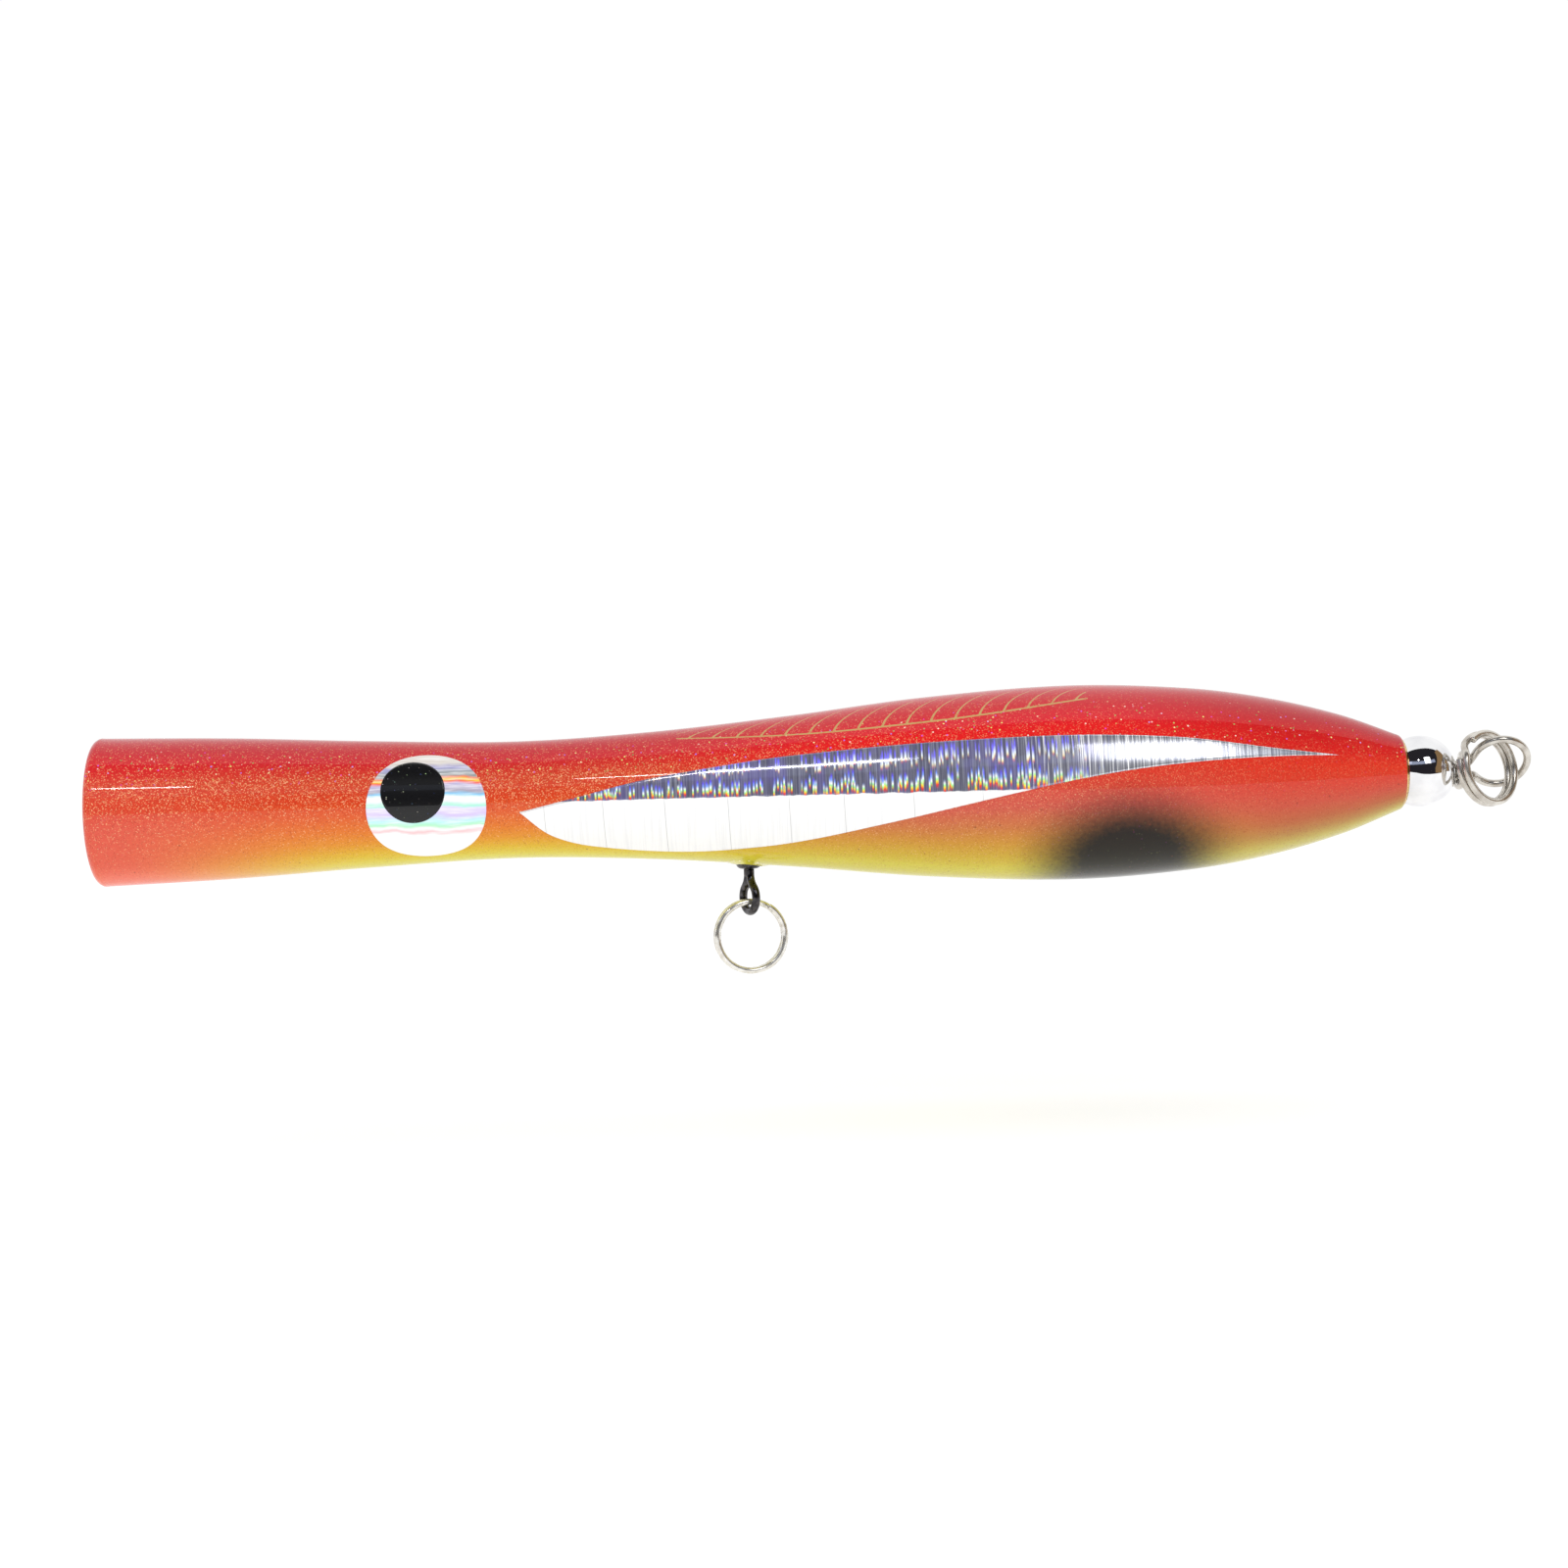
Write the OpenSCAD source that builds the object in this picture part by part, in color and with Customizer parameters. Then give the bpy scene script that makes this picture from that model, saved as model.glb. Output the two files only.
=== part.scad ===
// Topwater popper: a turned wooden body with a deep mouth cup, carried on a doubled through-wire,
// with a ball bearing at the tail, a swivel in the belly and a split ring for each hook.
//
// Lengths are in millimetres. The body is turned about the X axis: the mouth faces -X, the tail +X,
// the back is +Z and the belly -Z. Stations along the lure are measured from the mouth plane, and the
// whole part is then moved so that the origin is the middle of the line-tie eye.

/* [Body] */
// Length of the turned body, mouth plane to tail end
body_len = 229.6; // [215:0.1:245]
// Radius at the mouth
mouth_r = 13.1; // [12.6:0.05:14]
// Radius at the thinnest place, behind the eyes
neck_r = 10.3; // [10:0.05:11.5]
// Radius at the thickest place, three quarters of the way back
girth_r = 17.1; // [16:0.05:19]
// Radius of the tail end
tail_r = 6.45; // [6.4:0.05:7.5]
// Radius of the cup's edge
cup_r = 11.1; // [10:0.05:11.3]
// Depth of the cup on the axis
cup_depth = 12; // [10:0.1:13]
// Rounding of the mouth's outer edge
lip_round = 1.5; // [0.8:0.1:1.7]

/* [Through-wire] */
// Diameter of the stainless wire
wire_d = 1.36; // [1.2:0.02:1.4]
// Distance of the line-tie eye's middle behind the mouth plane
tie_setback = 5; // [4.6:0.1:5.4]
// Radius of the line-tie eye, to the middle of the wire
tie_eye_r = 3.7; // [3.5:0.1:3.8]
// Radius of the tail eye, to the middle of the wire
tail_eye_r = 4.9; // [4.7:0.1:5]
// Roll of the tail eye out of the upright plane, in degrees
tail_eye_roll = 38; // [36:1:40]

/* [Tail ball] */
// Diameter of the ball
ball_d = 12.7; // [12.5:0.05:12.8]
// Distance of the ball's middle behind the tail end
ball_standoff = 3.4; // [3.2:0.1:3.6]

/* [Belly swivel] */
// Station of the swivel, as a share of the body's length
swivel_share = 0.498; // [0.48:0.001:0.51]
// Diameter of the swivel's barrel
barrel_d = 4.8; // [4.4:0.1:5]
// Length of the barrel
barrel_len = 8.3; // [7.8:0.1:8.6]
// Turn of the hook eye about the upright axis, in degrees
swivel_turn = 62; // [60:1:66]

/* [Split rings] */
// Outside diameter of a split ring
ring_od = 13.3; // [13.2:0.05:13.4]
// Diameter of the ring's wire
ring_wire_d = 1.16; // [1.1:0.02:1.18]

/* [Eyes and foil] */
// Diameter of the eye disc, laid flat
eye_d = 20.7; // [18:0.1:22]
// Diameter of the pupil, laid flat
pupil_d = 11.1; // [9:0.1:12]
// Thickness of the foil and of the eye discs
film = 0.08; // [0.06:0.01:0.12]

/* [Hidden] */
$fn = 72;

// fits and gaps
running = 0.06; // radial clearance of a turning fit
film_gap = 0.06; // what lies between the wood and a film, and between the eye disc and the pupil
turn_gap = 0.04; // between the two turns of a split ring

// smoothness of the swept wires and of the wrapped films
wire_sides = 10;
outline_steps = 48;
film_rows = 46;
film_columns = 10;

// the doubled wire
wire_r = wire_d / 2;
leg_z = wire_r + 0.02; // height of each leg off the axis
pair_r = leg_z + wire_r; // radius of the circle around both legs
bore_r = pair_r + running;
loose_bore_r = bore_r + 0.3;

// stations of the fittings
swivel_x = swivel_share * body_len;
ball_x = body_len + ball_standoff;
ball_r = ball_d / 2;
ball_flat_x = ball_x + 0.88 * ball_r; // spot face where the wire wraps bear
grommet_x = cup_depth - 0.7;

// brass fittings
grommet = [3.3, 0.9, 2.2, 8.5]; // flange radius, flange thickness, sleeve radius, overall length
seat = [6, 4.9, 3, 17]; // cup radius, cup length, stem radius, overall length
seat_proud = 0.3; // how far the seat's rim stands out of the wood
seat_front_x = body_len + seat_proud - seat[1];

// ballast: shares of the body's length, hole radius and the plug's depth below the belly
ballast_share = [0.62, 0.73, 0.835];
ballast_r = 4;
ballast_top = 5;
plug_depth = 3.2;

// turned outline: [station, radius]
profile = [
  [0, mouth_r],
  [0.105 * body_len, mix(neck_r, mouth_r, 0.75)],
  [0.21 * body_len, mix(neck_r, mouth_r, 0.31)],
  [0.322 * body_len, neck_r],
  [0.427 * body_len, mix(neck_r, girth_r, 0.14)],
  [0.531 * body_len, mix(neck_r, girth_r, 0.44)],
  [0.636 * body_len, mix(neck_r, girth_r, 0.81)],
  [0.745 * body_len, girth_r],
  [0.836 * body_len, mix(tail_r, girth_r, 0.9)],
  [0.897 * body_len, mix(tail_r, girth_r, 0.7)],
  [0.954 * body_len, mix(tail_r, girth_r, 0.38)],
  [body_len, tail_r]
];

// foil leaf: its edges as [share of the body's length, degrees above the middle of the flank]
leaf_ends = [0.3283, 0.9445];
leaf_upper = [
  [0.327, -12], [0.37, 0.4], [0.418, 13.5], [0.475, 22.3], [0.536, 27.6], [0.684, 28.9],
  [0.819, 26.6], [0.893, 20.5], [0.9455, 17.2]
];
leaf_lower = [
  [0.327, -12], [0.351, -38.5], [0.383, -53], [0.444, -59], [0.51, -47.3], [0.601, -24],
  [0.697, -5.5], [0.793, 7], [0.9455, 17.2]
];

// eye: share of the body's length and degrees above the middle of the flank
eye_at = [0.2574, -5];
pupil_at = [0.2476, 11];

// ---- curves ----

function mix(a, b, t) = a + (b - a) * t;
function unit(v) = v / norm(v);

// smooth curve through stations [x, y]
function slope_at(p, i) =
  let (a = max(i - 1, 0), b = min(i + 1, len(p) - 1))
  (p[b][1] - p[a][1]) / (p[b][0] - p[a][0]);
function interval(p, x) = min(len(p) - 2, max(0, len([for (q = p) if (q[0] <= x) q]) - 1));
function curve(p, x) =
  let (i = interval(p, x), h = p[i + 1][0] - p[i][0], u = (x - p[i][0]) / h)
  (2 * u ^ 3 - 3 * u ^ 2 + 1) * p[i][1]
  + (u ^ 3 - 2 * u ^ 2 + u) * h * slope_at(p, i)
  + (3 * u ^ 2 - 2 * u ^ 3) * p[i + 1][1]
  + (u ^ 3 - u ^ 2) * h * slope_at(p, i + 1);
function body_r(x) = curve(profile, x);

// bend from p to q that leaves along a and arrives along b, without its first point
function bend(p, a, q, b, steps) = [
  for (i = [1:steps])
    let (t = i / steps, s = 1 - t)
    s ^ 3 * p + 3 * s ^ 2 * t * (p + a) + 3 * s * t ^ 2 * (q - b) + t ^ 3 * q
];

// ---- swept wire ----

function directions(p) = [
  for (i = [0:len(p) - 1]) unit(p[min(i + 1, len(p) - 1)] - p[max(i - 1, 0)])
];
function carry(n, d) = unit(n - (n * d) * d);
function side_vectors(d, first) = [
  for (i = 0, n = carry(first, d[0]); i < len(d); i = i + 1, n = i < len(d) ? carry(n, d[i]) : n) n
];

module wire(path, r, sides = wire_sides, first = [0, 0.31, 0.95]) {
  d = directions(path);
  n = side_vectors(d, first);
  rings = len(path);
  points = [
    for (i = [0:rings - 1])
      for (j = [0:sides - 1])
        path[i] + r * (cos(360 * j / sides) * n[i] + sin(360 * j / sides) * cross(d[i], n[i]))
  ];
  walls = [
    for (i = [0:rings - 2])
      for (j = [0:sides - 1])
        let (k = (j + 1) % sides, a = i * sides, b = a + sides)
        for (face = [[a + j, b + j, b + k], [a + j, b + k, a + k]]) face
  ];
  front = [for (j = [0:sides - 1]) j];
  back = [for (j = [sides - 1:-1:0]) (rings - 1) * sides + j];
  polyhedron(points = points, faces = concat(walls, [front, back]), convexity = 6);
}

// closed eye bent in wire: a round loop about the origin in the XZ plane, with both legs leaving along +X
function eye_path(r, leg_x, gap, open = 40) =
  let (
    out = [r * cos(open), 0, r * sin(open)],
    way = [-sin(open), 0, cos(open)],
    pull = 0.4 * (leg_x - out[0])
  )
  concat(
    [[leg_x + 0.8, 0, gap], [leg_x, 0, gap]],
    bend([leg_x, 0, gap], [-pull, 0, 0], out, pull * way, 6),
    [for (a = [open + 10:10:350 - open]) [r * cos(a), 0, r * sin(a)]],
    bend([out[0], 0, -out[2]], pull * [-way[0], 0, way[2]], [leg_x, 0, -gap], [pull, 0, 0], 6),
    [[leg_x + 0.8, 0, -gap]]
  );

// ---- wrapped film ----

// point of the flank that faces -Y, lifted off the wood
function flank(x, angle, lift) =
  let (r = body_r(x) + lift)
  [x, -r * cos(angle), r * sin(angle)];

// thin closed sheet between the edges that rows give as [station, lower angle, upper angle]
module flank_film(rows, lift) {
  m = len(rows);
  n = film_columns + 1;
  layer = m * n;
  points = [
    for (h = [lift + film, lift])
      for (row = rows)
        for (j = [0:n - 1]) flank(row[0], mix(row[1], row[2], j / film_columns), h)
  ];
  sheet = [
    for (i = [0:m - 2])
      for (j = [0:n - 2])
        let (a = i * n + j)
        for (face = [[a, a + 1, a + n + 1], [a, a + n + 1, a + n]]) face
  ];
  turned = [for (f = sheet) [f[2] + layer, f[1] + layer, f[0] + layer]];
  rim = concat(
    [for (j = [0:n - 1]) j],
    [for (i = [1:m - 1]) i * n + n - 1],
    [for (j = [n - 2:-1:0]) (m - 1) * n + j],
    [for (i = [m - 2:-1:1]) i * n]
  );
  edge = [
    for (k = [0:len(rim) - 1])
      let (a = rim[k], b = rim[(k + 1) % len(rim)])
      for (face = [[b, a, a + layer], [b, a + layer, b + layer]]) face
  ];
  polyhedron(points = points, faces = concat(sheet, turned, edge), convexity = 4);
}

// rows of a round sticker laid on the flank
function disc_rows(at, d) = [
  for (i = [0:28])
    let (
      t = mix(6, 174, i / 28),
      x = at[0] * body_len - d / 2 * cos(t),
      half = d / 2 * sin(t) / body_r(x) * 180 / PI
    )
    [x, at[1] - half, at[1] + half]
];

function leaf_rows() = [
  for (i = [0:film_rows])
    let (share = mix(leaf_ends[0], leaf_ends[1], (i / film_rows) ^ 1.6))
    [share * body_len, curve(leaf_lower, share), curve(leaf_upper, share)]
];

// ---- placing ----

// from mouth stations to the part's frame
module in_frame() {
  translate([-tie_setback, 0, 0]) children();
}

// turned about the lure's axis: drawn upright with Z as the station
module turned() {
  rotate([0, 90, 0]) children();
}

module along(x, r, length) {
  translate([x, 0, 0]) rotate([0, 90, 0]) cylinder(r = r, h = length);
}

module body_blank() {
  lip = [for (a = [0:15:75]) [mouth_r - lip_round + lip_round * sin(a), lip_round * (1 - cos(a))]];
  flank = [
    for (i = [0:outline_steps])
      let (x = mix(lip_round, body_len, i / outline_steps))
      [body_r(x), x]
  ];
  turned() rotate_extrude() polygon(concat([[0, 0]], lip, flank, [[0, body_len]]));
}

// ---- body group ----

module wooden_body() {
  cup_sphere_r = (cup_r ^ 2 + cup_depth ^ 2) / (2 * cup_depth);
  color("firebrick") in_frame() difference() {
    body_blank();
    translate([cup_depth - cup_sphere_r, 0, 0]) sphere(r = cup_sphere_r);
    along(grommet_x - 1, grommet[0], grommet[1] + 1);
    along(grommet_x, grommet[2], grommet[3]);
    along(grommet_x, loose_bore_r, body_len);
    along(seat_front_x, seat[0], body_len);
    along(body_len + seat_proud - seat[3], seat[2], seat[3]);
    swivel_hole();
    for (i = [0:2]) ballast_hole(i, ballast_top, girth_r + 1);
  }
}

module front_grommet() {
  color("goldenrod") in_frame() difference() {
    union() {
      along(grommet_x, grommet[0], grommet[1]);
      along(grommet_x, grommet[2], grommet[3]);
    }
    along(grommet_x - 1, bore_r, grommet[3] + 2);
  }
}

module tail_seat() {
  color("goldenrod") in_frame() difference() {
    union() {
      along(seat_front_x, seat[0], seat[1]);
      along(body_len + seat_proud - seat[3], seat[2], seat[3]);
    }
    along(0, bore_r, body_len + 1);
    translate([ball_x, 0, 0]) sphere(r = ball_r + running);
  }
}

// films
module foil_left() {
  color("lightsteelblue") in_frame() flank_film(leaf_rows(), film_gap);
}

module foil_right() {
  mirror([0, 1, 0]) foil_left();
}

module eye_disc_left() {
  color("whitesmoke") in_frame() flank_film(disc_rows(eye_at, eye_d), film_gap);
}

module eye_disc_right() {
  mirror([0, 1, 0]) eye_disc_left();
}

module pupil_left() {
  color("black") in_frame() flank_film(disc_rows(pupil_at, pupil_d), 2 * film_gap + film);
}

module pupil_right() {
  mirror([0, 1, 0]) pupil_left();
}

// ballast slugs, let in from the belly and plugged flush
module ballast_hole(i, top, bottom) {
  translate([ballast_share[i] * body_len, 0, -bottom]) cylinder(r = ballast_r, h = bottom - top);
}

function slug_foot(i) = body_r(ballast_share[i] * body_len) - plug_depth;

module ballast(i) {
  color("dimgray") in_frame() ballast_hole(i, ballast_top, slug_foot(i));
}

module plug(i) {
  color("khaki") in_frame() intersection() {
    body_blank();
    ballast_hole(i, slug_foot(i), girth_r + 1);
  }
}

// ---- belly swivel ----

belly_z = -body_r(swivel_x);
barrel_foot = belly_z - 0.85; // the barrel's rounded end shows below the belly
barrel_top = barrel_foot + barrel_len;
barrel_r = barrel_d / 2;
barrel_wall = 0.6;
barrel_end = 1; // thickness of the closed ends
pin_r = 0.95;
pin_head = [1.55, 0.9]; // radius and thickness
swivel_hole_r = 3.4;
hook_eye_r = 2.45; // to the middle of the wire
hook_bar_z = belly_z - 8.35; // middle of the bar that the split ring hangs on
hook_leg = 4.1;
upper_eye_r = 2.45;
upper_leg = 4;

module swivel_hole() {
  translate([swivel_x, 0, -girth_r]) cylinder(r = swivel_hole_r, h = girth_r + swivel_hole_r);
}

module swivel_barrel() {
  dome = [for (a = [0:15:75]) [barrel_r - 1.2 * (1 - cos(a)), 1.4 * sin(a)]];
  half = barrel_len / 2;
  outline = concat(
    [for (p = dome) [p[0], half - 1.4 + p[1]]],
    [[pin_r + running + 0.35, half], [0, half], [0, -half], [pin_r + running + 0.35, -half]],
    [for (i = [len(dome) - 1:-1:0]) [dome[i][0], -half + 1.4 - dome[i][1]]]
  );
  color("dimgray") in_frame() translate([swivel_x, 0, barrel_foot + half]) difference() {
    rotate_extrude() polygon(outline);
    translate([0, 0, -half - 1]) cylinder(r = pin_r + running, h = barrel_len + 2);
    translate([0, 0, -half + barrel_end]) cylinder(r = barrel_r - barrel_wall, h = barrel_len - 2 * barrel_end);
  }
}

// headed pin of a swivel eye, standing on the XY plane with its head at the top
module swivel_pin(length) {
  cylinder(r = pin_r, h = length);
  translate([0, 0, length - pin_head[1]]) cylinder(r = pin_head[0], h = pin_head[1]);
}

module swivel_upper_eye() {
  reach = upper_leg - 0.3;
  pin_len = -barrel_top - reach + barrel_end + 0.1 + pin_head[1];
  color("dimgray") in_frame() translate([swivel_x, 0, 0]) {
    rotate([0, 90, 90]) wire(eye_path(upper_eye_r, upper_leg, 0.45), wire_r);
    translate([0, 0, -reach]) mirror([0, 0, 1]) swivel_pin(pin_len);
  }
}

module swivel_hook_eye() {
  eye_z = hook_bar_z + hook_eye_r;
  pin_z = eye_z + hook_leg - 0.3;
  color("dimgray") in_frame() translate([swivel_x, 0, 0]) {
    translate([0, 0, eye_z]) rotate([0, -90, -swivel_turn]) wire(eye_path(hook_eye_r, hook_leg, 0.45), wire_r);
    translate([0, 0, pin_z]) swivel_pin(barrel_foot + barrel_end + 0.15 + pin_head[1] - pin_z);
  }
}

// epoxy that holds the barrel in its hole and closes it flush with the belly
module swivel_bedding() {
  color("gold") in_frame() difference() {
    intersection() {
      body_blank();
      translate([swivel_x, 0, -girth_r]) cylinder(r = swivel_hole_r, h = girth_r + barrel_top - 1.6);
    }
    translate([swivel_x, 0, -girth_r - 1]) cylinder(r = barrel_r, h = girth_r + 2);
  }
}

// ---- through-wire and ball ----

legs_x = tie_setback + tie_eye_r + 2.9; // where the legs run straight
lift_x = body_len + 10.8; // where the upper leg leaves the axis for the tail eye
tail_eye_at = [body_len + 17.2, -1, 1.3];
wrap_r = 2.75; // to the middle of the wire
wrap_pitch = 1.42;
wrap_turns = 1.5;
wrap_start = 35; // degrees below the flank where the first wrap begins
wrap_x = body_len + 11.9;

function in_tail_eye(a) =
  tail_eye_at + tail_eye_r * [cos(a), -sin(a) * sin(tail_eye_roll), sin(a) * cos(tail_eye_roll)];
function along_tail_eye(a) = [sin(a), cos(a) * sin(tail_eye_roll), -cos(a) * cos(tail_eye_roll)];
function wrap(t) =
  let (a = wrap_start + 360 * wrap_turns * t)
  [wrap_x - wrap_pitch * wrap_turns * t, -wrap_r * cos(a), -wrap_r * sin(a)];

// upper leg, round the tail eye, and wrapped over both legs down to the ball
function tail_path() =
  let (rise = 140, fall = -128, start = wrap(0))
  concat(
    [[lift_x - 1, 0, leg_z], [lift_x, 0, leg_z]],
    bend([lift_x, 0, leg_z], [1.3, 0, 0], in_tail_eye(rise), 1.3 * along_tail_eye(rise), 7),
    [for (a = [rise - 10:-10:fall + 2]) in_tail_eye(a)],
    bend(
      in_tail_eye(fall), 1.6 * along_tail_eye(fall), start,
      [0, 1.6 * sin(wrap_start), -1.6 * cos(wrap_start)], 9
    ),
    [for (i = [1:26]) wrap(i / 26)]
  );

module through_wire() {
  color("silver") in_frame() {
    translate([tie_setback, 0, 0]) wire(eye_path(tie_eye_r, tie_eye_r + 2.8, leg_z), wire_r - 0.01);
    translate([0, 0, leg_z]) along(legs_x, wire_r, lift_x - 0.4 - legs_x);
    translate([0, 0, -leg_z]) along(legs_x, wire_r, lift_x + 0.5 - legs_x);
    wire(tail_path(), wire_r - 0.01);
  }
}

module tail_ball() {
  color("white") in_frame() difference() {
    translate([ball_x, 0, 0]) sphere(r = ball_r);
    along(body_len - 20, bore_r, 60);
    along(ball_flat_x, ball_r, ball_r);
  }
}

// ---- split rings ----

// two turns of wire side by side, with a step where one turn passes into the next;
// drawn about the origin in the XZ plane, starting at the angle start
module split_ring(start) {
  r = (ring_od - ring_wire_d) / 2;
  layer = (ring_wire_d + turn_gap) / 2;
  last = 684;
  step_from = 322;
  step_to = 358;
  path = [
    for (a = [0:9:last])
      let (t = min(1, max(0, (a - step_from) / (step_to - step_from))), s = t * t * (3 - 2 * t))
      [r * cos(start - a), mix(-layer, layer, s), r * sin(start - a)]
  ];
  wire(path, ring_wire_d / 2, 8, [0, 1, 0]);
}

belly_ring_yaw = 13;
belly_ring_drop = 4.35; // ring's middle below the bar that it hangs on

module belly_split_ring() {
  color("gainsboro") in_frame()
    translate([swivel_x, 0, hook_bar_z - belly_ring_drop])
      rotate([0, 0, belly_ring_yaw]) split_ring(58);
}

tail_ring_at = [body_len + 14.6, -3.2, 0.2];
tail_ring_lean = [-9.2, 0, 36];

module tail_split_ring() {
  color("gainsboro") in_frame() translate(tail_ring_at) rotate(tail_ring_lean) split_ring(126);
}

// ---- nodes ----

wooden_body();
front_grommet();
tail_seat();
through_wire();
tail_ball();
swivel_barrel();
swivel_upper_eye();
swivel_hook_eye();
swivel_bedding();
ballast(0);  // ballast_front
ballast(1);  // ballast_middle
ballast(2);  // ballast_rear
plug(0);  // plug_front
plug(1);  // plug_middle
plug(2);  // plug_rear
foil_left();
foil_right();
eye_disc_left();
eye_disc_right();
pupil_left();
pupil_right();
belly_split_ring();
tail_split_ring();
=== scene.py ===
import bmesh
import bpy
import math
import numpy as np
from mathutils import Matrix, Vector


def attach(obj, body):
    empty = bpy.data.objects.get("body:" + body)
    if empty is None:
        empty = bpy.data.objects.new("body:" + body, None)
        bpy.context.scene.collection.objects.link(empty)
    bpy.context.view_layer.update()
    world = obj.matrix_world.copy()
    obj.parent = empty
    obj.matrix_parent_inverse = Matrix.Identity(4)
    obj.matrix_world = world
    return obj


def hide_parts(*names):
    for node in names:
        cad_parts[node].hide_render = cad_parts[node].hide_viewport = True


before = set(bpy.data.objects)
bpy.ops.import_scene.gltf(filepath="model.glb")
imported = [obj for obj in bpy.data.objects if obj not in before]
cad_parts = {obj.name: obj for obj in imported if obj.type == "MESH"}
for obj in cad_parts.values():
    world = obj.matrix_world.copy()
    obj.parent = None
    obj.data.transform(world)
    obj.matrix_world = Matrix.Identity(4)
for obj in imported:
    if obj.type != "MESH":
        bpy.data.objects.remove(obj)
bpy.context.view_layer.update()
MM = 0.001

# ---------------------------------------------------------------- the lure's own sizes, in mm, as in the CAD
SETBACK = 5.0
LENGTH = 229.6
MOUTH_R, NECK_R, GIRTH_R, TAIL_R = 13.1, 10.3, 17.1, 6.45
CUP_R, CUP_DEPTH, LIP = 11.1, 12.0, 1.5
LEG_Z, BORE_R = 0.70, 1.44
SWIVEL_X = 0.498 * LENGTH
BALL_X, BALL_R = LENGTH + 3.4, 6.35
BALL_FLAT = BALL_X + 0.88 * BALL_R


def mix(a, b, t):
    return a + (b - a) * t


PROFILE = np.array([
    (0, MOUTH_R), (0.105 * LENGTH, mix(NECK_R, MOUTH_R, 0.75)), (0.21 * LENGTH, mix(NECK_R, MOUTH_R, 0.31)),
    (0.322 * LENGTH, NECK_R), (0.427 * LENGTH, mix(NECK_R, GIRTH_R, 0.14)),
    (0.531 * LENGTH, mix(NECK_R, GIRTH_R, 0.44)), (0.636 * LENGTH, mix(NECK_R, GIRTH_R, 0.81)),
    (0.745 * LENGTH, GIRTH_R), (0.836 * LENGTH, mix(TAIL_R, GIRTH_R, 0.9)),
    (0.897 * LENGTH, mix(TAIL_R, GIRTH_R, 0.7)), (0.954 * LENGTH, mix(TAIL_R, GIRTH_R, 0.38)), (LENGTH, TAIL_R)])


def curve(stations, x):
    """Smooth curve through stations (x, y)."""
    p = np.asarray(stations, float)
    x = np.asarray(x, float)
    lo = np.maximum(np.arange(len(p)) - 1, 0)
    hi = np.minimum(np.arange(len(p)) + 1, len(p) - 1)
    slope = (p[hi, 1] - p[lo, 1]) / (p[hi, 0] - p[lo, 0])
    i = np.clip(np.searchsorted(p[:, 0], x, side="right") - 1, 0, len(p) - 2)
    h = p[i + 1, 0] - p[i, 0]
    u = (x - p[i, 0]) / h
    return ((2 * u**3 - 3 * u**2 + 1) * p[i, 1] + (u**3 - 2 * u**2 + u) * h * slope[i]
            + (3 * u**2 - 2 * u**3) * p[i + 1, 1] + (u**3 - u**2) * h * slope[i + 1])


def body_r(x):
    """Radius of the turned body at a station."""
    return curve(PROFILE, x)


# ---------------------------------------------------------------- meshes
def piece(name, points, faces, body, material, replaces):
    """A mesh from points in mm, measured from the mouth plane, that rides on a body."""
    mesh = bpy.data.meshes.new(name)
    points = (np.asarray(points, float) - (SETBACK, 0, 0)) * MM
    mesh.from_pydata(points.tolist(), [], [list(map(int, f)) for f in faces])
    mesh.validate()
    shape = bmesh.new()
    shape.from_mesh(mesh)
    bmesh.ops.recalc_face_normals(shape, faces=shape.faces)
    if shape.calc_volume(signed=True) < 0:
        bmesh.ops.reverse_faces(shape, faces=shape.faces)
    shape.to_mesh(mesh)
    shape.free()
    obj = bpy.data.objects.new(name, mesh)
    bpy.context.scene.collection.objects.link(obj)
    mesh.polygons.foreach_set("use_smooth", [True] * len(mesh.polygons))
    mesh.materials.append(material)
    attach(obj, body)
    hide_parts(*replaces)


def rings_to_faces(rings, sides, wrap_rings=False):
    """Quads between neighbouring rings of points; wrap_rings joins the last ring to the first."""
    faces = []
    for i in range(rings if wrap_rings else rings - 1):
        a, b = i * sides, ((i + 1) % rings) * sides
        for j in range(sides):
            k = (j + 1) % sides
            faces.append((a + j, a + k, b + k, b + j))
    return faces


def lathe(outline, sides, axis="x", at=(0, 0, 0), closed=True):
    """Points and faces of a closed outline [(station, radius)] turned about an axis."""
    t = np.linspace(0, 2 * np.pi, sides, endpoint=False)
    o = np.asarray(outline, float)
    s = np.repeat(o[:, 0], sides)
    r = np.repeat(o[:, 1], sides)
    a = np.tile(t, len(o))
    if axis == "x":
        pts = np.stack([s, r * np.cos(a), r * np.sin(a)], 1)
    else:
        pts = np.stack([r * np.cos(a), -r * np.sin(a), s], 1)
    return pts + np.asarray(at, float), rings_to_faces(len(o), sides, closed)


def arc(cx, cr, radius, start, end, n):
    """Points (station, radius) on an arc, angles in degrees from the axis direction."""
    a = np.radians(np.linspace(start, end, n))
    return list(zip(cx + radius * np.cos(a), cr + radius * np.sin(a)))


def cap_angle(radius, sphere):
    """Angle from the axis, in degrees, at which a sphere is this wide."""
    return math.degrees(math.asin(radius / sphere))


def unit(v):
    return v / np.linalg.norm(v, axis=-1, keepdims=True)


def resample(path, step):
    """The same path with points at even distances."""
    d = np.r_[0, np.cumsum(np.linalg.norm(np.diff(path, axis=0), axis=1))]
    s = np.linspace(0, d[-1], max(2, int(round(d[-1] / step)) + 1))
    return np.stack([np.interp(s, d, path[:, k]) for k in range(3)], 1)


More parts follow.
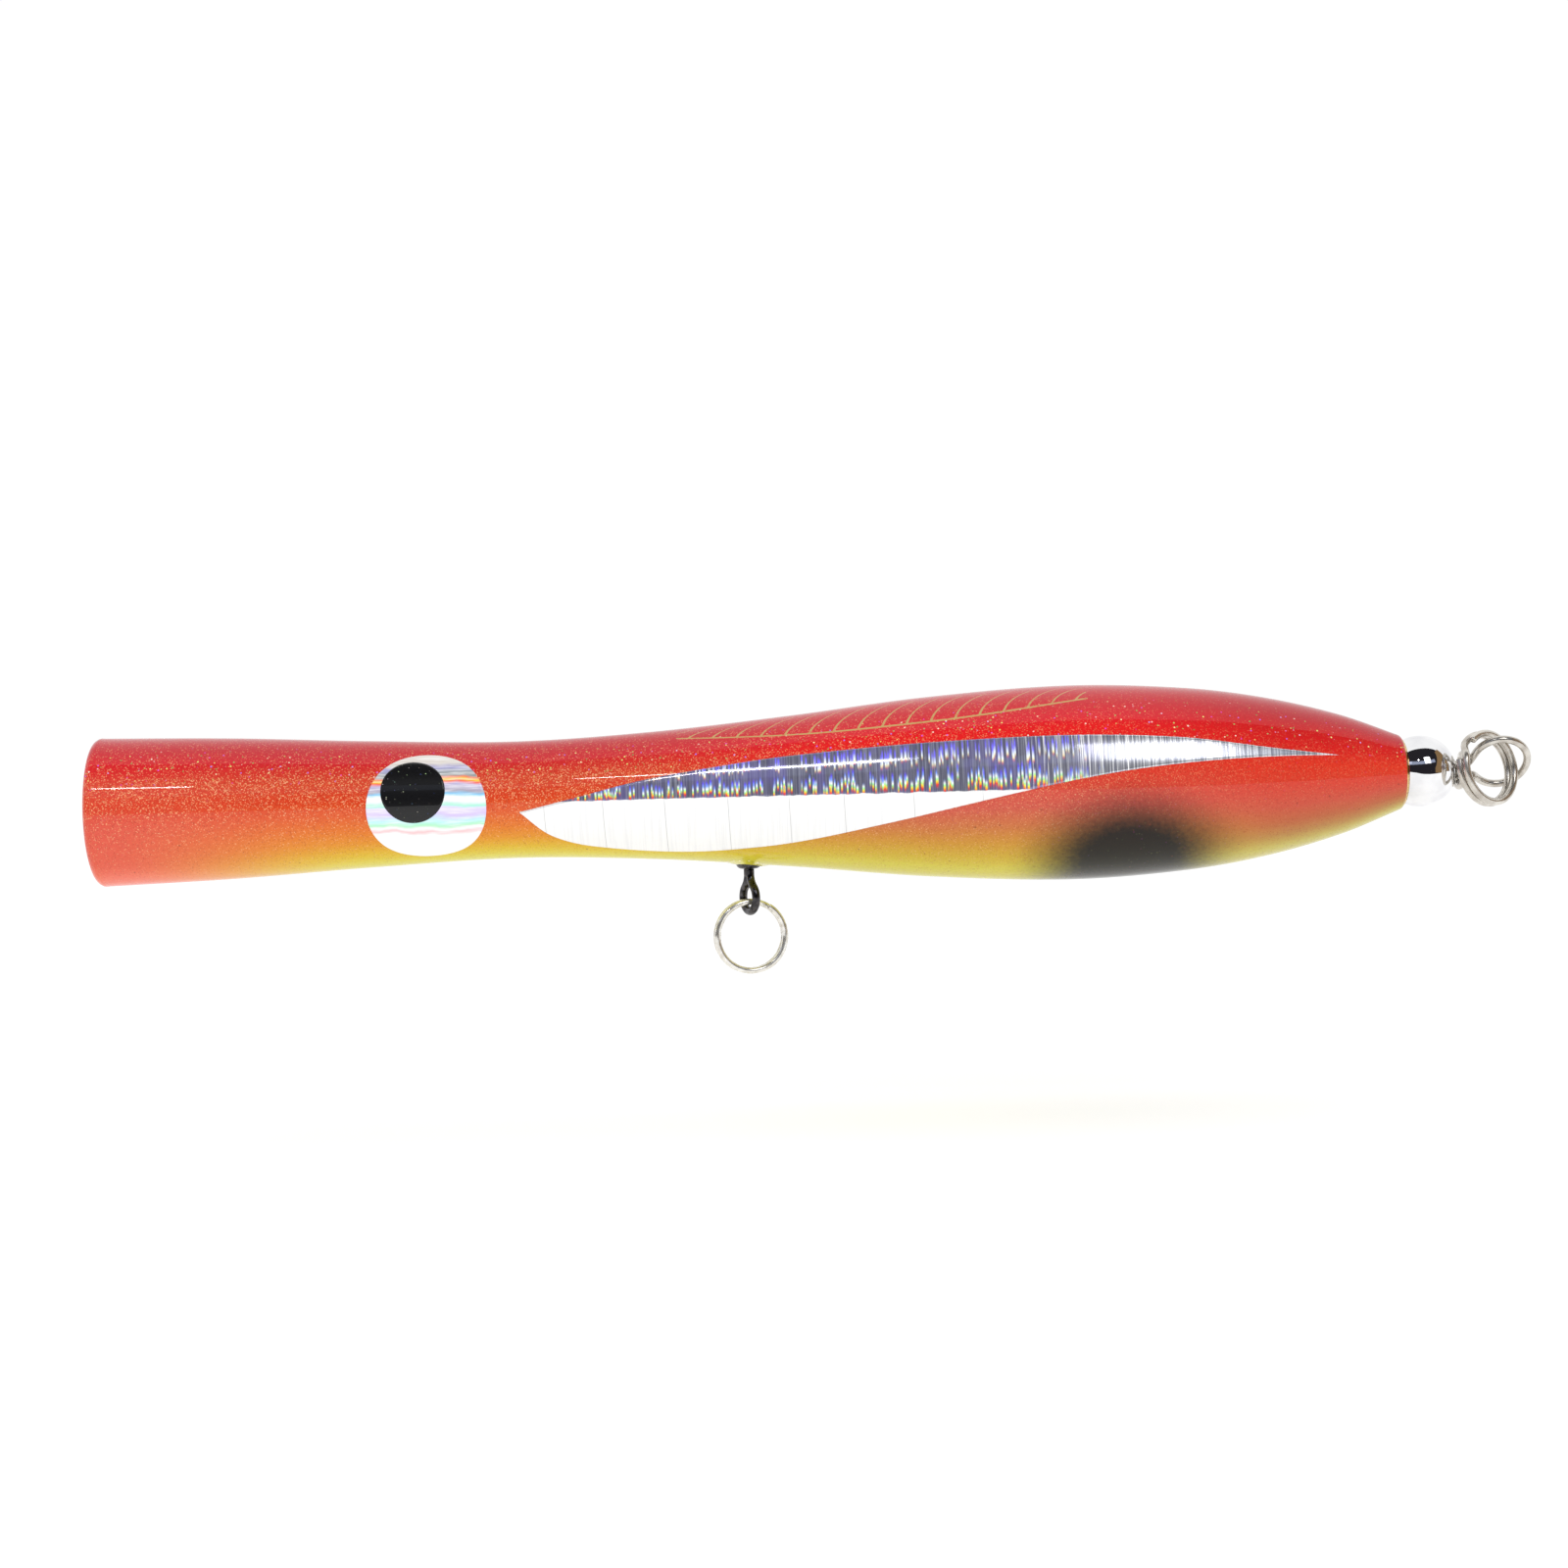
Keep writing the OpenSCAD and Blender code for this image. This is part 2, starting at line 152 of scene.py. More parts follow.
def sweep(path, radius, sides=20, chamfer=0.12):
    """Points and faces of a round wire along a path, with slightly rounded cut ends."""
    path = np.asarray(path, float)
    d = unit(np.gradient(path, axis=0))
    n = np.array([0.0, 0.31, 0.95])
    side = []
    for v in d:
        n = unit(n - (n @ v) * v)
        side.append(n)
    side = np.array(side)
    other = np.cross(d, side)
    radii = np.r_[radius - chamfer, np.full(len(path), radius), radius - chamfer]
    path, d, side, other = (np.vstack([rows[0], rows, rows[-1]]) for rows in (path, d, side, other))
    path[1] = path[0] + d[0] * chamfer
    path[-2] = path[-1] - d[-1] * chamfer
    a = np.linspace(0, 2 * np.pi, sides, endpoint=False)
    round_it = np.cos(a)[None, :, None] * side[:, None, :] + np.sin(a)[None, :, None] * other[:, None, :]
    ring = radii[:, None, None] * round_it
    pts = (path[:, None, :] + ring).reshape(-1, 3)
    faces = [f[::-1] for f in rings_to_faces(len(path), sides)]
    faces.append(tuple(range(sides)))
    faces.append(tuple(reversed(range((len(path) - 1) * sides, len(path) * sides))))
    return pts, [tuple(reversed(f)) for f in faces]


def bend(p, a, q, b, n):
    """From p to q, leaving along a and arriving along b, without its first point."""
    t = (np.arange(1, n + 1) / n)[:, None]
    s = 1 - t
    p, a, q, b = (np.asarray(v, float) for v in (p, a, q, b))
    return s**3 * p + 3 * s**2 * t * (p + a) + 3 * s * t**2 * (q - b) + t**3 * q


def eye_path(r, leg_x, gap, opening=40):
    """A round eye about the origin in the XZ plane, both legs leaving along +X."""
    o = math.radians(opening)
    out = np.array([r * math.cos(o), 0, r * math.sin(o)])
    way = np.array([-math.sin(o), 0, math.cos(o)])
    pull = 0.4 * (leg_x - out[0])
    a = np.radians(np.arange(opening + 4, 357 - opening, 4))
    return np.vstack([
        [[leg_x + 0.8, 0, gap], [leg_x, 0, gap]],
        bend([leg_x, 0, gap], [-pull, 0, 0], out, pull * way, 18),
        np.stack([r * np.cos(a), 0 * a, r * np.sin(a)], 1),
        bend(out * [1, 1, -1], pull * way * [-1, 1, 1], [leg_x, 0, -gap], [pull, 0, 0], 18),
        [[leg_x + 0.8, 0, -gap]]])


def joined(*parts):
    """Several (points, faces) as one."""
    pts, faces, base = [], [], 0
    for p, f in parts:
        pts.append(np.asarray(p, float))
        faces += [tuple(i + base for i in face) for face in f]
        base += len(p)
    return np.vstack(pts), faces


def turn(points, axis, degrees):
    return np.asarray(points) @ np.array(Matrix.Rotation(math.radians(degrees), 3, axis)).T


def flank(x, angle, lift, side):
    """Points lifted off the wood at stations x and angles above the horizontal; side -1 is the left flank."""
    a = np.radians(angle)
    r = body_r(x) + lift
    return np.stack([x, side * r * np.cos(a), r * np.sin(a)], -1)


def film(grid_x, grid_angle, grid_lift, thickness, side):
    """Closed film on the flank from grids of the station, angle and lift of its upper face."""
    m, n = grid_x.shape
    top = flank(grid_x, grid_angle, grid_lift, side).reshape(-1, 3)
    low = flank(grid_x, grid_angle, grid_lift - thickness, side).reshape(-1, 3)
    layer = m * n
    faces = []
    for i in range(m - 1):
        for j in range(n - 1):
            a = i * n + j
            faces.append((a, a + 1, a + n + 1, a + n))
            faces.append((a + layer, a + n + layer, a + n + 1 + layer, a + 1 + layer))
    rim = (list(range(n)) + [i * n + n - 1 for i in range(1, m)]
           + [(m - 1) * n + j for j in range(n - 2, -1, -1)] + [i * n for i in range(m - 2, 0, -1)])
    for k, a in enumerate(rim):
        b = rim[(k + 1) % len(rim)]
        faces.append((b, a, a + layer, b + layer))
    if side > 0:
        faces = [f[::-1] for f in faces]
    return np.vstack([top, low]), faces


# ---------------------------------------------------------------- material nodes
COAT_IOR = 1.34


class Paint:
    """A Principled material with short names for the nodes that feed it."""

    def __init__(self, name, roughness, metallic=0.0, coat=0.0, coat_roughness=0.03, specular=0.5):
        self.material = bpy.data.materials.new(name)
        self.material.use_nodes = True
        self.tree = self.material.node_tree
        self.shader = self.tree.nodes["Principled BSDF"]
        put = self.shader.inputs
        put["Roughness"].default_value = roughness
        put["Metallic"].default_value = metallic
        put["Coat Weight"].default_value = coat
        put["Coat Roughness"].default_value = coat_roughness
        put["Coat IOR"].default_value = COAT_IOR
        put["Specular IOR Level"].default_value = specular
        self.place = self.tree.nodes.new("ShaderNodeTexCoord").outputs["Object"]
        parts = self.add("SeparateXYZ", Vector=self.place)
        self.x, self.y, self.z = parts.outputs[0], parts.outputs[1], parts.outputs[2]
        self.angle = self.times(self.math("ARCTAN2", self.z, self.math("ABSOLUTE", self.y)), 180 / math.pi)

    def add(self, kind, settings=None, **inputs):
        node = self.tree.nodes.new("ShaderNode" + kind)
        for key, value in (settings or {}).items():
            setattr(node, key, value)
        for key, value in inputs.items():
            self.feed(node.inputs[key.replace("_", " ")], value)
        return node

    def feed(self, socket, value):
        if isinstance(value, bpy.types.NodeSocket):
            self.tree.links.new(value, socket)
        else:
            socket.default_value = value

    def math(self, op, a, b=0.0, c=0.0):
        node = self.tree.nodes.new("ShaderNodeMath")
        node.operation = op
        for socket, value in zip(node.inputs, (a, b, c)):
            self.feed(socket, value)
        return node.outputs[0]

    def times(self, first, *others):
        for value in others:
            first = self.math("MULTIPLY", first, value)
        return first

    def plus(self, a, b):
        return self.math("ADD", a, b)

    def minus(self, a, b):
        return self.math("SUBTRACT", a, b)

    def scaled(self, value, factor, offset):
        return self.math("MULTIPLY_ADD", value, factor, offset)

    def above(self, value, limit):
        return self.math("GREATER_THAN", value, limit)

    def below(self, value, limit):
        return self.math("LESS_THAN", value, limit)

    def smooth(self, value, lo, hi, out_lo=0.0, out_hi=1.0):
        """A smooth step from out_lo at lo to out_hi at hi."""
        node = self.add("MapRange", {"interpolation_type": "SMOOTHSTEP"}, Value=value)
        flip = lo > hi
        node.inputs["From Min"].default_value = min(lo, hi)
        node.inputs["From Max"].default_value = max(lo, hi)
        node.inputs["To Min"].default_value = out_hi if flip else out_lo
        node.inputs["To Max"].default_value = out_lo if flip else out_hi
        return node.outputs["Result"]

    def window(self, value, lo, hi, soft):
        """1 between lo and hi, 0 outside, with soft edges."""
        return self.times(self.smooth(value, lo - soft, lo + soft), self.smooth(value, hi + soft, hi - soft))

    def mixed(self, factor, a, b):
        node = self.tree.nodes.new("ShaderNodeMix")
        node.data_type = "RGBA"
        self.feed(node.inputs[0], factor)
        self.feed(node.inputs[6], a if isinstance(a, bpy.types.NodeSocket) else (*a, 1))
        self.feed(node.inputs[7], b if isinstance(b, bpy.types.NodeSocket) else (*b, 1))
        return node.outputs[2]

    def ramp(self, value, stops):
        """Colour along a value; the stops are (value, colour)."""
        lo, hi = stops[0][0], stops[-1][0]
        node = self.add("ValToRGB", Fac=self.share(value, lo, hi))
        el = node.color_ramp.elements
        while len(el) < len(stops):
            el.new(0.5)
        for e, (at, colour) in zip(el, stops):
            e.position = (at - lo) / (hi - lo)
            e.color = (*colour, 1)
        return node.outputs["Color"]

    def share(self, value, lo, hi):
        """How far the value is on its way from lo to hi, from 0 to 1."""
        node = self.add("MapRange", Value=value)
        node.inputs["From Min"].default_value = lo
        node.inputs["From Max"].default_value = hi
        return node.outputs["Result"]

    def stretched(self, x, y, z):
        """The place on the object, scaled on each axis."""
        return self.add("Mapping", Vector=self.place, Scale=(x, y, z)).outputs[0]

    def noise(self, scale, detail=2.0, vector=None, rough=0.5):
        vector = vector or self.place
        return self.add("TexNoise", Vector=vector, Scale=scale, Detail=detail, Roughness=rough).outputs["Fac"]

    def cells(self, scale):
        """Distance from the middle of the nearest cell, and that cell's three random numbers."""
        node = self.add("TexVoronoi", Vector=self.place, Scale=scale, Randomness=1.0)
        tint = self.add("SeparateColor", Color=node.outputs["Color"])
        return node.outputs["Distance"], tint.outputs[0], tint.outputs[1], tint.outputs[2]

    def bump(self, height, distance, coat=True):
        """Relief of the surface, and of the coat over it."""
        node = self.add("Bump", Height=height, Distance=distance, Strength=1.0)
        self.feed(self.shader.inputs["Normal"], node.outputs[0])
        if coat:
            self.feed(self.shader.inputs["Coat Normal"], node.outputs[0])

    def set(self, **inputs):
        for key, value in inputs.items():
            self.feed(self.shader.inputs[key.replace("_", " ")], value)
        return self.material


WAVE_SCALE, WAVE_HEIGHT = 95, 0.00002


def coat_waves(p):
    """The clear coat's slight unevenness."""
    p.bump(p.noise(WAVE_SCALE, 1.0), WAVE_HEIGHT)


# Paint colours by the angle above the horizontal, in degrees, at four places along the lure.
THROAT = [
    (-90, (0.88, 0.15, 0.08)), (-62, (0.84, 0.155, 0.085)), (-46, (0.74, 0.11, 0.06)), (-14, (0.69, 0.09, 0.055)),
    (4, (0.66, 0.055, 0.025)), (22, (0.65, 0.06, 0.035)), (31, (0.64, 0.02, 0.02)), (40, (0.62, 0.009, 0.016)),
    (54, (0.53, 0.006, 0.016)), (90, (0.48, 0.005, 0.018))]
MIDDLE = [
    (-90, (0.62, 0.60, 0.02)), (-68, (0.70, 0.63, 0.03)), (-52, (0.72, 0.47, 0.02)), (-37, (0.73, 0.28, 0.02)),
    (-24, (0.72, 0.18, 0.02)), (-10, (0.69, 0.10, 0.02)), (4, (0.63, 0.045, 0.010)), (20, (0.60, 0.055, 0.022)),
    (30, (0.58, 0.03, 0.018)), (40, (0.56, 0.012, 0.020)), (56, (0.50, 0.006, 0.016)), (90, (0.46, 0.005, 0.016))]
GIRTH = [
    (-90, (0.58, 0.56, 0.02)), (-60, (0.63, 0.55, 0.04)), (-48, (0.60, 0.40, 0.03)), (-36, (0.58, 0.27, 0.03)),
    (-25, (0.56, 0.16, 0.045)), (-14, (0.58, 0.09, 0.055)), (-4, (0.62, 0.065, 0.040)), (10, (0.65, 0.03, 0.015)),
    (26, (0.72, 0.010, 0.008)), (34, (0.72, 0.008, 0.010)), (42, (0.64, 0.008, 0.020)), (54, (0.56, 0.006, 0.016)),
    (90, (0.48, 0.005, 0.016))]
REAR = [
    (-90, (0.54, 0.50, 0.03)), (-64, (0.53, 0.45, 0.06)), (-48, (0.46, 0.22, 0.05)), (-36, (0.48, 0.12, 0.04)),
    (-22, (0.56, 0.075, 0.040)), (-8, (0.62, 0.045, 0.022)), (8, (0.66, 0.030, 0.012)), (24, (0.60, 0.008, 0.007)),
    (38, (0.54, 0.006, 0.008)), (54, (0.44, 0.006, 0.016)), (90, (0.42, 0.005, 0.014))]
# Where each of these fades into the next, in metres from the line-tie eye.
THROAT_TO_MIDDLE, MIDDLE_TO_GIRTH, GIRTH_TO_REAR = (-0.006, 0.040), (0.082, 0.134), (0.170, 0.206)
# How much fine glitter there is, by the same angle.
GLITTER = [(at, (much,) * 3) for at, much in (
    (-90, 0.05), (-40, 0.25), (-8, 0.55), (6, 0.95), (24, 1.0), (33, 0.55), (50, 0.35), (90, 0.20))]
FLAKES = [
    (0.0, (1.0, 0.85, 0.75)), (0.15, (0.85, 0.90, 0.25)), (0.40, (0.10, 0.26, 0.06)), (0.58, (0.30, 0.45, 0.12)),
    (0.72, (0.95, 0.05, 0.60)), (0.88, (0.35, 0.20, 0.90)), (1.0, (1.0, 0.65, 0.55))]
SPOT_X, SPOT_LENGTH, SPOT_ANGLE, SPOT_HEIGHT = 0.1752, 0.0175, -50.0, 43.0
FINS_FROM, FINS_TO, FIN_RAYS, FINS_TOP = 0.0975, 0.1690, 17.0, 74.0
CUP_PAINT_R, CUP_PAINT_X = 0.01125, 0.010


def glitter_and_glints(p, colour):
    """Gold glitter grains, thick on the flank and thin in the red, and dark ones between them: glitter colour with
    painted glints, the bright grains standing for flakes that catch the light and the dark ones for flakes that
    reflect the dim room.
    """
    _, first, hue, last = p.cells(6200)
    density = p.ramp(p.angle, GLITTER)
    # painted glints: the picked grains are painted bright gold
    grain = p.smooth(p.plus(first, p.times(density, 0.22)), 0.90, 1.16)
    gold = p.mixed(hue, (0.92, 0.36, 0.13), (0.98, 0.74, 0.40))
    colour = p.mixed(p.times(grain, p.smooth(p.x, 0.130, 0.205, 0.54, 0.12)), colour, gold)
    # painted reflection: dark grains stand for flakes that reflect the dim room
    dark = p.smooth(p.plus(last, p.times(density, 0.12)), 0.88, 1.0)
    return p.mixed(p.times(dark, 0.35), colour, (0.30, 0.015, 0.008)), grain


def sprayed_spot(p, colour):
    """Soft black spot low on the rear flank, running under the belly."""
    along = p.math("DIVIDE", p.minus(p.x, SPOT_X), SPOT_LENGTH)
    above = p.math("MAXIMUM", p.math("DIVIDE", p.minus(p.angle, SPOT_ANGLE), SPOT_HEIGHT), 0.0)
    reach = p.math("SQRT", p.plus(p.times(along, along), p.times(above, above)))
    spot = p.smooth(p.plus(reach, p.scaled(p.noise(1400, 1.0), 0.14, -0.07)), 1.28, 0.42)
    return p.mixed(p.times(spot, 0.985), colour, (0.003, 0.003, 0.003))


def coarse_flakes(p, colour):
    """Sparse coloured flakes on the upper flank and back, and dust specks under the coat below them."""
    distance, chance, hue, _ = p.cells(2100)
    picked = p.times(p.above(chance, 0.90), p.smooth(distance, 0.40, 0.26))
    band = p.window(p.angle, 24.0, 52.0, 12.0)
    colour = p.mixed(p.times(picked, p.scaled(band, 0.9, 0.04)), colour, p.ramp(hue, FLAKES))
    distance, chance, _, _ = p.cells(700)
    speck = p.times(p.above(chance, 0.90), p.smooth(distance, 0.16, 0.08))
    return p.mixed(p.times(speck, p.smooth(p.angle, 5.0, -25.0, 0.1, 0.55)), colour, (0.16, 0.03, 0.01))


def fin_rays(p, colour):
    """A row of gold rays that lean back from a curved line along each side of the back."""
    along = p.share(p.x, FINS_FROM, FINS_TO)
    from_middle = p.math("ABSOLUTE", p.minus(p.times(along, 2.0), 1.0))
    base = p.scaled(p.math("POWER", from_middle, 2.2), 13.0, 45.0)
    height = p.math("DIVIDE", p.minus(p.angle, base), p.minus(FINS_TOP, base))
    lean = p.scaled(p.times(height, height), 0.9, p.times(height, 0.5))
    phase = p.minus(p.times(along, FIN_RAYS), lean)
    off = p.math("ABSOLUTE", p.minus(p.math("FRACT", phase), 0.5))
    off = p.times(off, (FINS_TO - FINS_FROM) / FIN_RAYS)
    wide = p.scaled(p.math("MAXIMUM", height, 0.0), -0.00013, 0.00023)
    ray = p.times(p.below(off, wide), p.above(height, 0.0), p.below(height, 1.0))
    line = p.below(p.math("ABSOLUTE", p.minus(p.angle, base)), 0.75)
    inked = p.times(p.math("MAXIMUM", ray, line), p.above(along, 0.0), p.below(along, 1.0))
    brushed = p.smooth(p.noise(1500, 1.0), 0.30, 0.45, 0.55, 0.95)
    return p.mixed(p.times(inked, brushed), colour, (0.50, 0.33, 0.11))


def body_paint():
    """Red back, orange flank and yellow belly with glitter and its painted glints, spot and fin rays under a glossy
    coat.
    """
    p = Paint("lure_paint", roughness=0.55, coat=0.9, coat_roughness=0.02, specular=0.08)
    angle = p.plus(p.angle, p.scaled(p.noise(60, 2.0), 6.0, -3.0))
    throat, middle, girth, rear = (p.ramp(angle, stops) for stops in (THROAT, MIDDLE, GIRTH, REAR))
    colour = p.mixed(p.smooth(p.scaled(p.angle, 0.00008, p.x), *THROAT_TO_MIDDLE), throat, middle)
    colour = p.mixed(p.smooth(p.x, *MIDDLE_TO_GIRTH), colour, girth)
    colour = p.mixed(p.smooth(p.x, *GIRTH_TO_REAR), colour, rear)
    colour, grain = glitter_and_glints(p, colour)
    colour = fin_rays(p, coarse_flakes(p, sprayed_spot(p, colour)))
    # the cup is sprayed plain red
    radius = p.math("SQRT", p.plus(p.times(p.y, p.y), p.times(p.z, p.z)))
    inside = p.times(p.below(radius, CUP_PAINT_R), p.below(p.x, CUP_PAINT_X))
    colour = p.mixed(inside, colour, p.mixed(grain, (0.62, 0.014, 0.018), (0.80, 0.10, 0.05)))
    coat_waves(p)
    return p.set(Base_Color=colour)


# Painted reflection: colours of the rainbow glints that the hologram throws, by the angle above the horizontal, in
# degrees: two rows, one above the other.
RAINBOW = [
    (-3.0, (0.60, 0.01, 0.01)), (-0.5, (1.0, 0.05, 0.03)), (1.4, (1.0, 0.75, 0.06)), (2.6, (0.40, 1.0, 0.35)),
    (4.2, (0.95, 1.0, 1.0)), (6.5, (0.25, 0.40, 1.0)), (9.5, (0.14, 0.10, 0.95)), (12.5, (0.18, 0.10, 0.70)),
    (14.5, (0.95, 0.08, 0.15)), (16.2, (1.0, 0.85, 0.45)), (18.0, (0.85, 0.95, 1.0)), (22.0, (0.22, 0.20, 1.0)),
    (30.0, (0.16, 0.10, 0.85)), (32.0, (0.16, 0.10, 0.85))]
# Layers of painted rainbow glints: how many to the metre, a shift that makes each layer different, the lowest and the
# highest angle, and the share that is left out.
STREAKS = ((1100, 0.0, -2.0, 5.0, 0.40), (1650, 3.7, -1.0, 8.0, 0.40), (1350, 2.9, 1.5, 10.5, 0.55),
           (1150, 1.9, 15.0, 24.0, 0.50), (1750, 5.3, 16.0, 26.0, 0.45))
# where the tip begins, painted lighter and made rougher, and the stretch of the painted white glints, in metres from
# the line-tie eye
FOIL_TIP, WHITE_GLINT_SPAN = (0.155, 0.180), (0.157, 0.180)


def painted_rainbow_glints(p, colour, where):
    """Painted rainbow glints over a colour, and how strongly each place is lit by them."""
    lit = None
    for scale, shift, low, high, left_out in STREAKS:
        streak = p.add("TexVoronoi", {"voronoi_dimensions": "1D"}, Scale=scale, Randomness=0.8)
        p.feed(streak.inputs["W"], p.plus(p.x, shift))
        chance = p.add("SeparateColor", Color=streak.outputs["Color"]).outputs
        at = p.plus(p.angle, p.scaled(chance[1], 6.0, -3.0))
        there = p.times(p.above(chance[0], left_out), p.smooth(streak.outputs["Distance"], 0.30, 0.14))
        there = p.times(there, p.window(at, low, high, 2.2), where, p.smooth(chance[2], 0.0, 0.4, 0.60, 1.0))
        colour = p.mixed(there, colour, p.ramp(at, RAINBOW))
        lit = there if lit is None else p.math("MAXIMUM", lit, there)
    return colour, lit


def foil_paint():
    """Holographic film with its reflections painted in: grey-blue above, a painted reflection of a dim room with two
    rows of painted rainbow glints; white below, a painted reflection of a pale table; a lighter, silvery painted
    light at the tip.
    """
    p = Paint("foil_hologram", roughness=0.10, coat=1.0, coat_roughness=0.02)
    lines = p.noise(1.0, 2.0, p.stretched(3800, 60, 60), 0.6)
    broad = p.noise(1.0, 1.0, p.stretched(420, 150, 150))
    ragged = p.scaled(p.noise(1.0, 2.0, p.stretched(420, 0, 0)), 3.0, -1.5)
    # painted reflection: the film is painted as reflecting a dim room above this ragged line and a pale table below
    # it
    above_reflection_line = p.smooth(p.plus(p.angle, ragged), -3.3, -2.7)
    rear = p.smooth(p.x, *FOIL_TIP)
    # painted reflection of a dim room: dull grey-blue lines, partly violet
    dark = p.mixed(p.smooth(lines, 0.38, 0.66), (0.12, 0.12, 0.18), (0.29, 0.30, 0.38))
    dark = p.mixed(p.times(p.smooth(broad, 0.38, 0.68), 0.5), dark, (0.20, 0.17, 0.48))
    # painted light: the tip is painted a lighter, silvery grey where the lamp's highlight falls on it
    lit_silver = p.mixed(p.smooth(lines, 0.40, 0.62), (0.35, 0.36, 0.42), (0.92, 0.94, 0.98))
    # painted reflection of a pale table: near-white lines below the middle
    plain = p.mixed(p.smooth(lines, 0.30, 0.60), (0.85, 0.855, 0.865), (0.94, 0.94, 0.935))
    colour = p.mixed(above_reflection_line, plain, p.mixed(rear, dark, lit_silver))
    # the painted rainbow glints lie only above the reflection line and fade out towards the tip
    colour, lit = painted_rainbow_glints(p, colour, p.times(p.smooth(rear, 0.2, 0.9, 1.0, 0.0), above_reflection_line))
    # painted highlights: white streaks of light on the film over the girth, above the reflection line
    white = p.times(p.smooth(lines, 0.55, 0.68), above_reflection_line, p.window(p.x, *WHITE_GLINT_SPAN, 0.008))
    colour = p.mixed(white, colour, (1.0, 1.0, 1.0))
    # hairline cracks across the film
    crack = {"feature": "DISTANCE_TO_EDGE", "voronoi_dimensions": "1D"}
    crack = p.add("TexVoronoi", crack, Scale=92.0, Randomness=0.45)
    p.feed(crack.inputs["W"], p.scaled(p.z, 0.035, p.x))
    cracked = p.times(p.smooth(crack.outputs["Distance"], 0.008, 0.003), p.smooth(p.angle, 0.0, -8.0))
    colour = p.mixed(p.times(cracked, 0.5), colour, (0.25, 0.25, 0.26))
    shine = p.times(p.scaled(rear, 0.42, 0.28), p.minus(1.0, p.math("MAXIMUM", lit, white)))
    p.set(Metallic=shine, Roughness=p.smooth(p.x, *FOIL_TIP, 0.10, 0.20))
    fine = p.add("Bump", Height=lines, Distance=0.000006, Strength=1.0)
    wrinkled = p.scaled(p.noise(260, 2.0), 0.55, p.noise(WAVE_SCALE, 1.0))
    coat = p.add("Bump", Height=wrinkled, Distance=WAVE_HEIGHT, Strength=1.0)
    p.feed(fine.inputs["Normal"], coat.outputs[0])
    return p.set(Base_Color=colour, Normal=fine.outputs[0], Coat_Normal=coat.outputs[0])


# Painted reflection: the eye film's rainbow and grey bands, set by the height above the lure's axis, in metres.
EYE_REFLECTION_BANDS = [
    (-0.0105, (0.97, 0.97, 0.96)), (-0.0054, (0.96, 0.95, 0.95)), (-0.0048, (0.95, 0.55, 0.58)),
    (-0.0043, (0.96, 0.93, 0.94)), (-0.0038, (0.42, 0.92, 0.54)), (-0.0030, (0.52, 0.84, 0.96)),
    (-0.0020, (0.66, 0.55, 0.94)), (-0.0009, (0.72, 0.66, 0.95)), (-0.0005, (0.36, 0.90, 0.66)),
    (0.0002, (0.96, 0.98, 0.98)), (0.0008, (0.90, 0.97, 1.0)), (0.0013, (0.22, 0.60, 0.92)),
    (0.0018, (0.40, 0.37, 0.46)), (0.0029, (0.50, 0.44, 0.68)), (0.0034, (0.96, 0.12, 0.05)),
    (0.0038, (1.0, 0.66, 0.06)), (0.0042, (0.92, 0.22, 0.10)), (0.0046, (0.30, 0.33, 0.33)),
    (0.0052, (0.30, 0.33, 0.35)), (0.0060, (0.34, 0.33, 0.60)), (0.0068, (0.62, 0.57, 0.52)),
    (0.0105, (0.72, 0.66, 0.62))]
PUPIL_DOTS = [
    (0.0, (0.9, 0.85, 0.7)), (0.3, (0.45, 0.75, 0.30)), (0.6, (0.10, 0.20, 0.9)), (0.8, (0.4, 0.25, 0.1)),
    (1.0, (0.9, 0.85, 0.9))]


def eye_paint():
    """White holographic film with painted reflection in wavy rainbow and grey bands by height, and fine scratches
    along the lure.
    """
    p = Paint("eye_film", roughness=0.25, coat=1.0, coat_roughness=0.02, specular=0.3)
    # the painted reflection bands follow the height, with a wavy edge
    wave = p.scaled(p.noise(1.0, 3.0, p.stretched(170, 60, 160)), 0.0022, p.minus(p.z, 0.0011))
    fine = p.noise(1.0, 2.0, p.stretched(200, 40, 3600), 0.6)
    colour = p.mixed(p.smooth(fine, 0.40, 0.75, 0.0, 0.55), p.ramp(wave, EYE_REFLECTION_BANDS), (0.98, 0.98, 0.99))
    coat_waves(p)
    return p.set(Base_Color=colour)


def pupil_paint():
    """Gloss black with a few small coloured dots."""
    p = Paint("pupil_black", roughness=0.35, coat=1.0, coat_roughness=0.02, specular=0.2)
    distance, chance, hue, strength = p.cells(3400)
    dot = p.times(p.above(chance, 0.90), p.smooth(distance, 0.40, 0.25))
    bright = p.scaled(p.math("POWER", strength, 5.0), 0.85, 0.05)
    colour = p.mixed(p.times(dot, bright), (0.004, 0.004, 0.005), p.ramp(hue, PUPIL_DOTS))
    coat_waves(p)
    return p.set(Base_Color=colour)


def metal(name, colour, dark, roughness, grain, wear, relief=0.000004, metallic=1.0):
    """Bare metal with faint drawing or polishing marks."""
    p = Paint(name, roughness=roughness, metallic=metallic)
    marks = p.noise(1.0, 3.0, p.stretched(*grain))
    stain = p.noise(220, 3.0)
    tone = p.mixed(p.smooth(marks, 0.30, 0.70), dark, colour)
    tone = p.mixed(p.times(p.smooth(stain, 0.55, 0.80), wear), tone, dark)
    p.bump(marks, relief, coat=False)
    return p.set(Base_Color=tone, Roughness=p.smooth(stain, 0.3, 0.8, roughness * 0.7, roughness * 1.5))


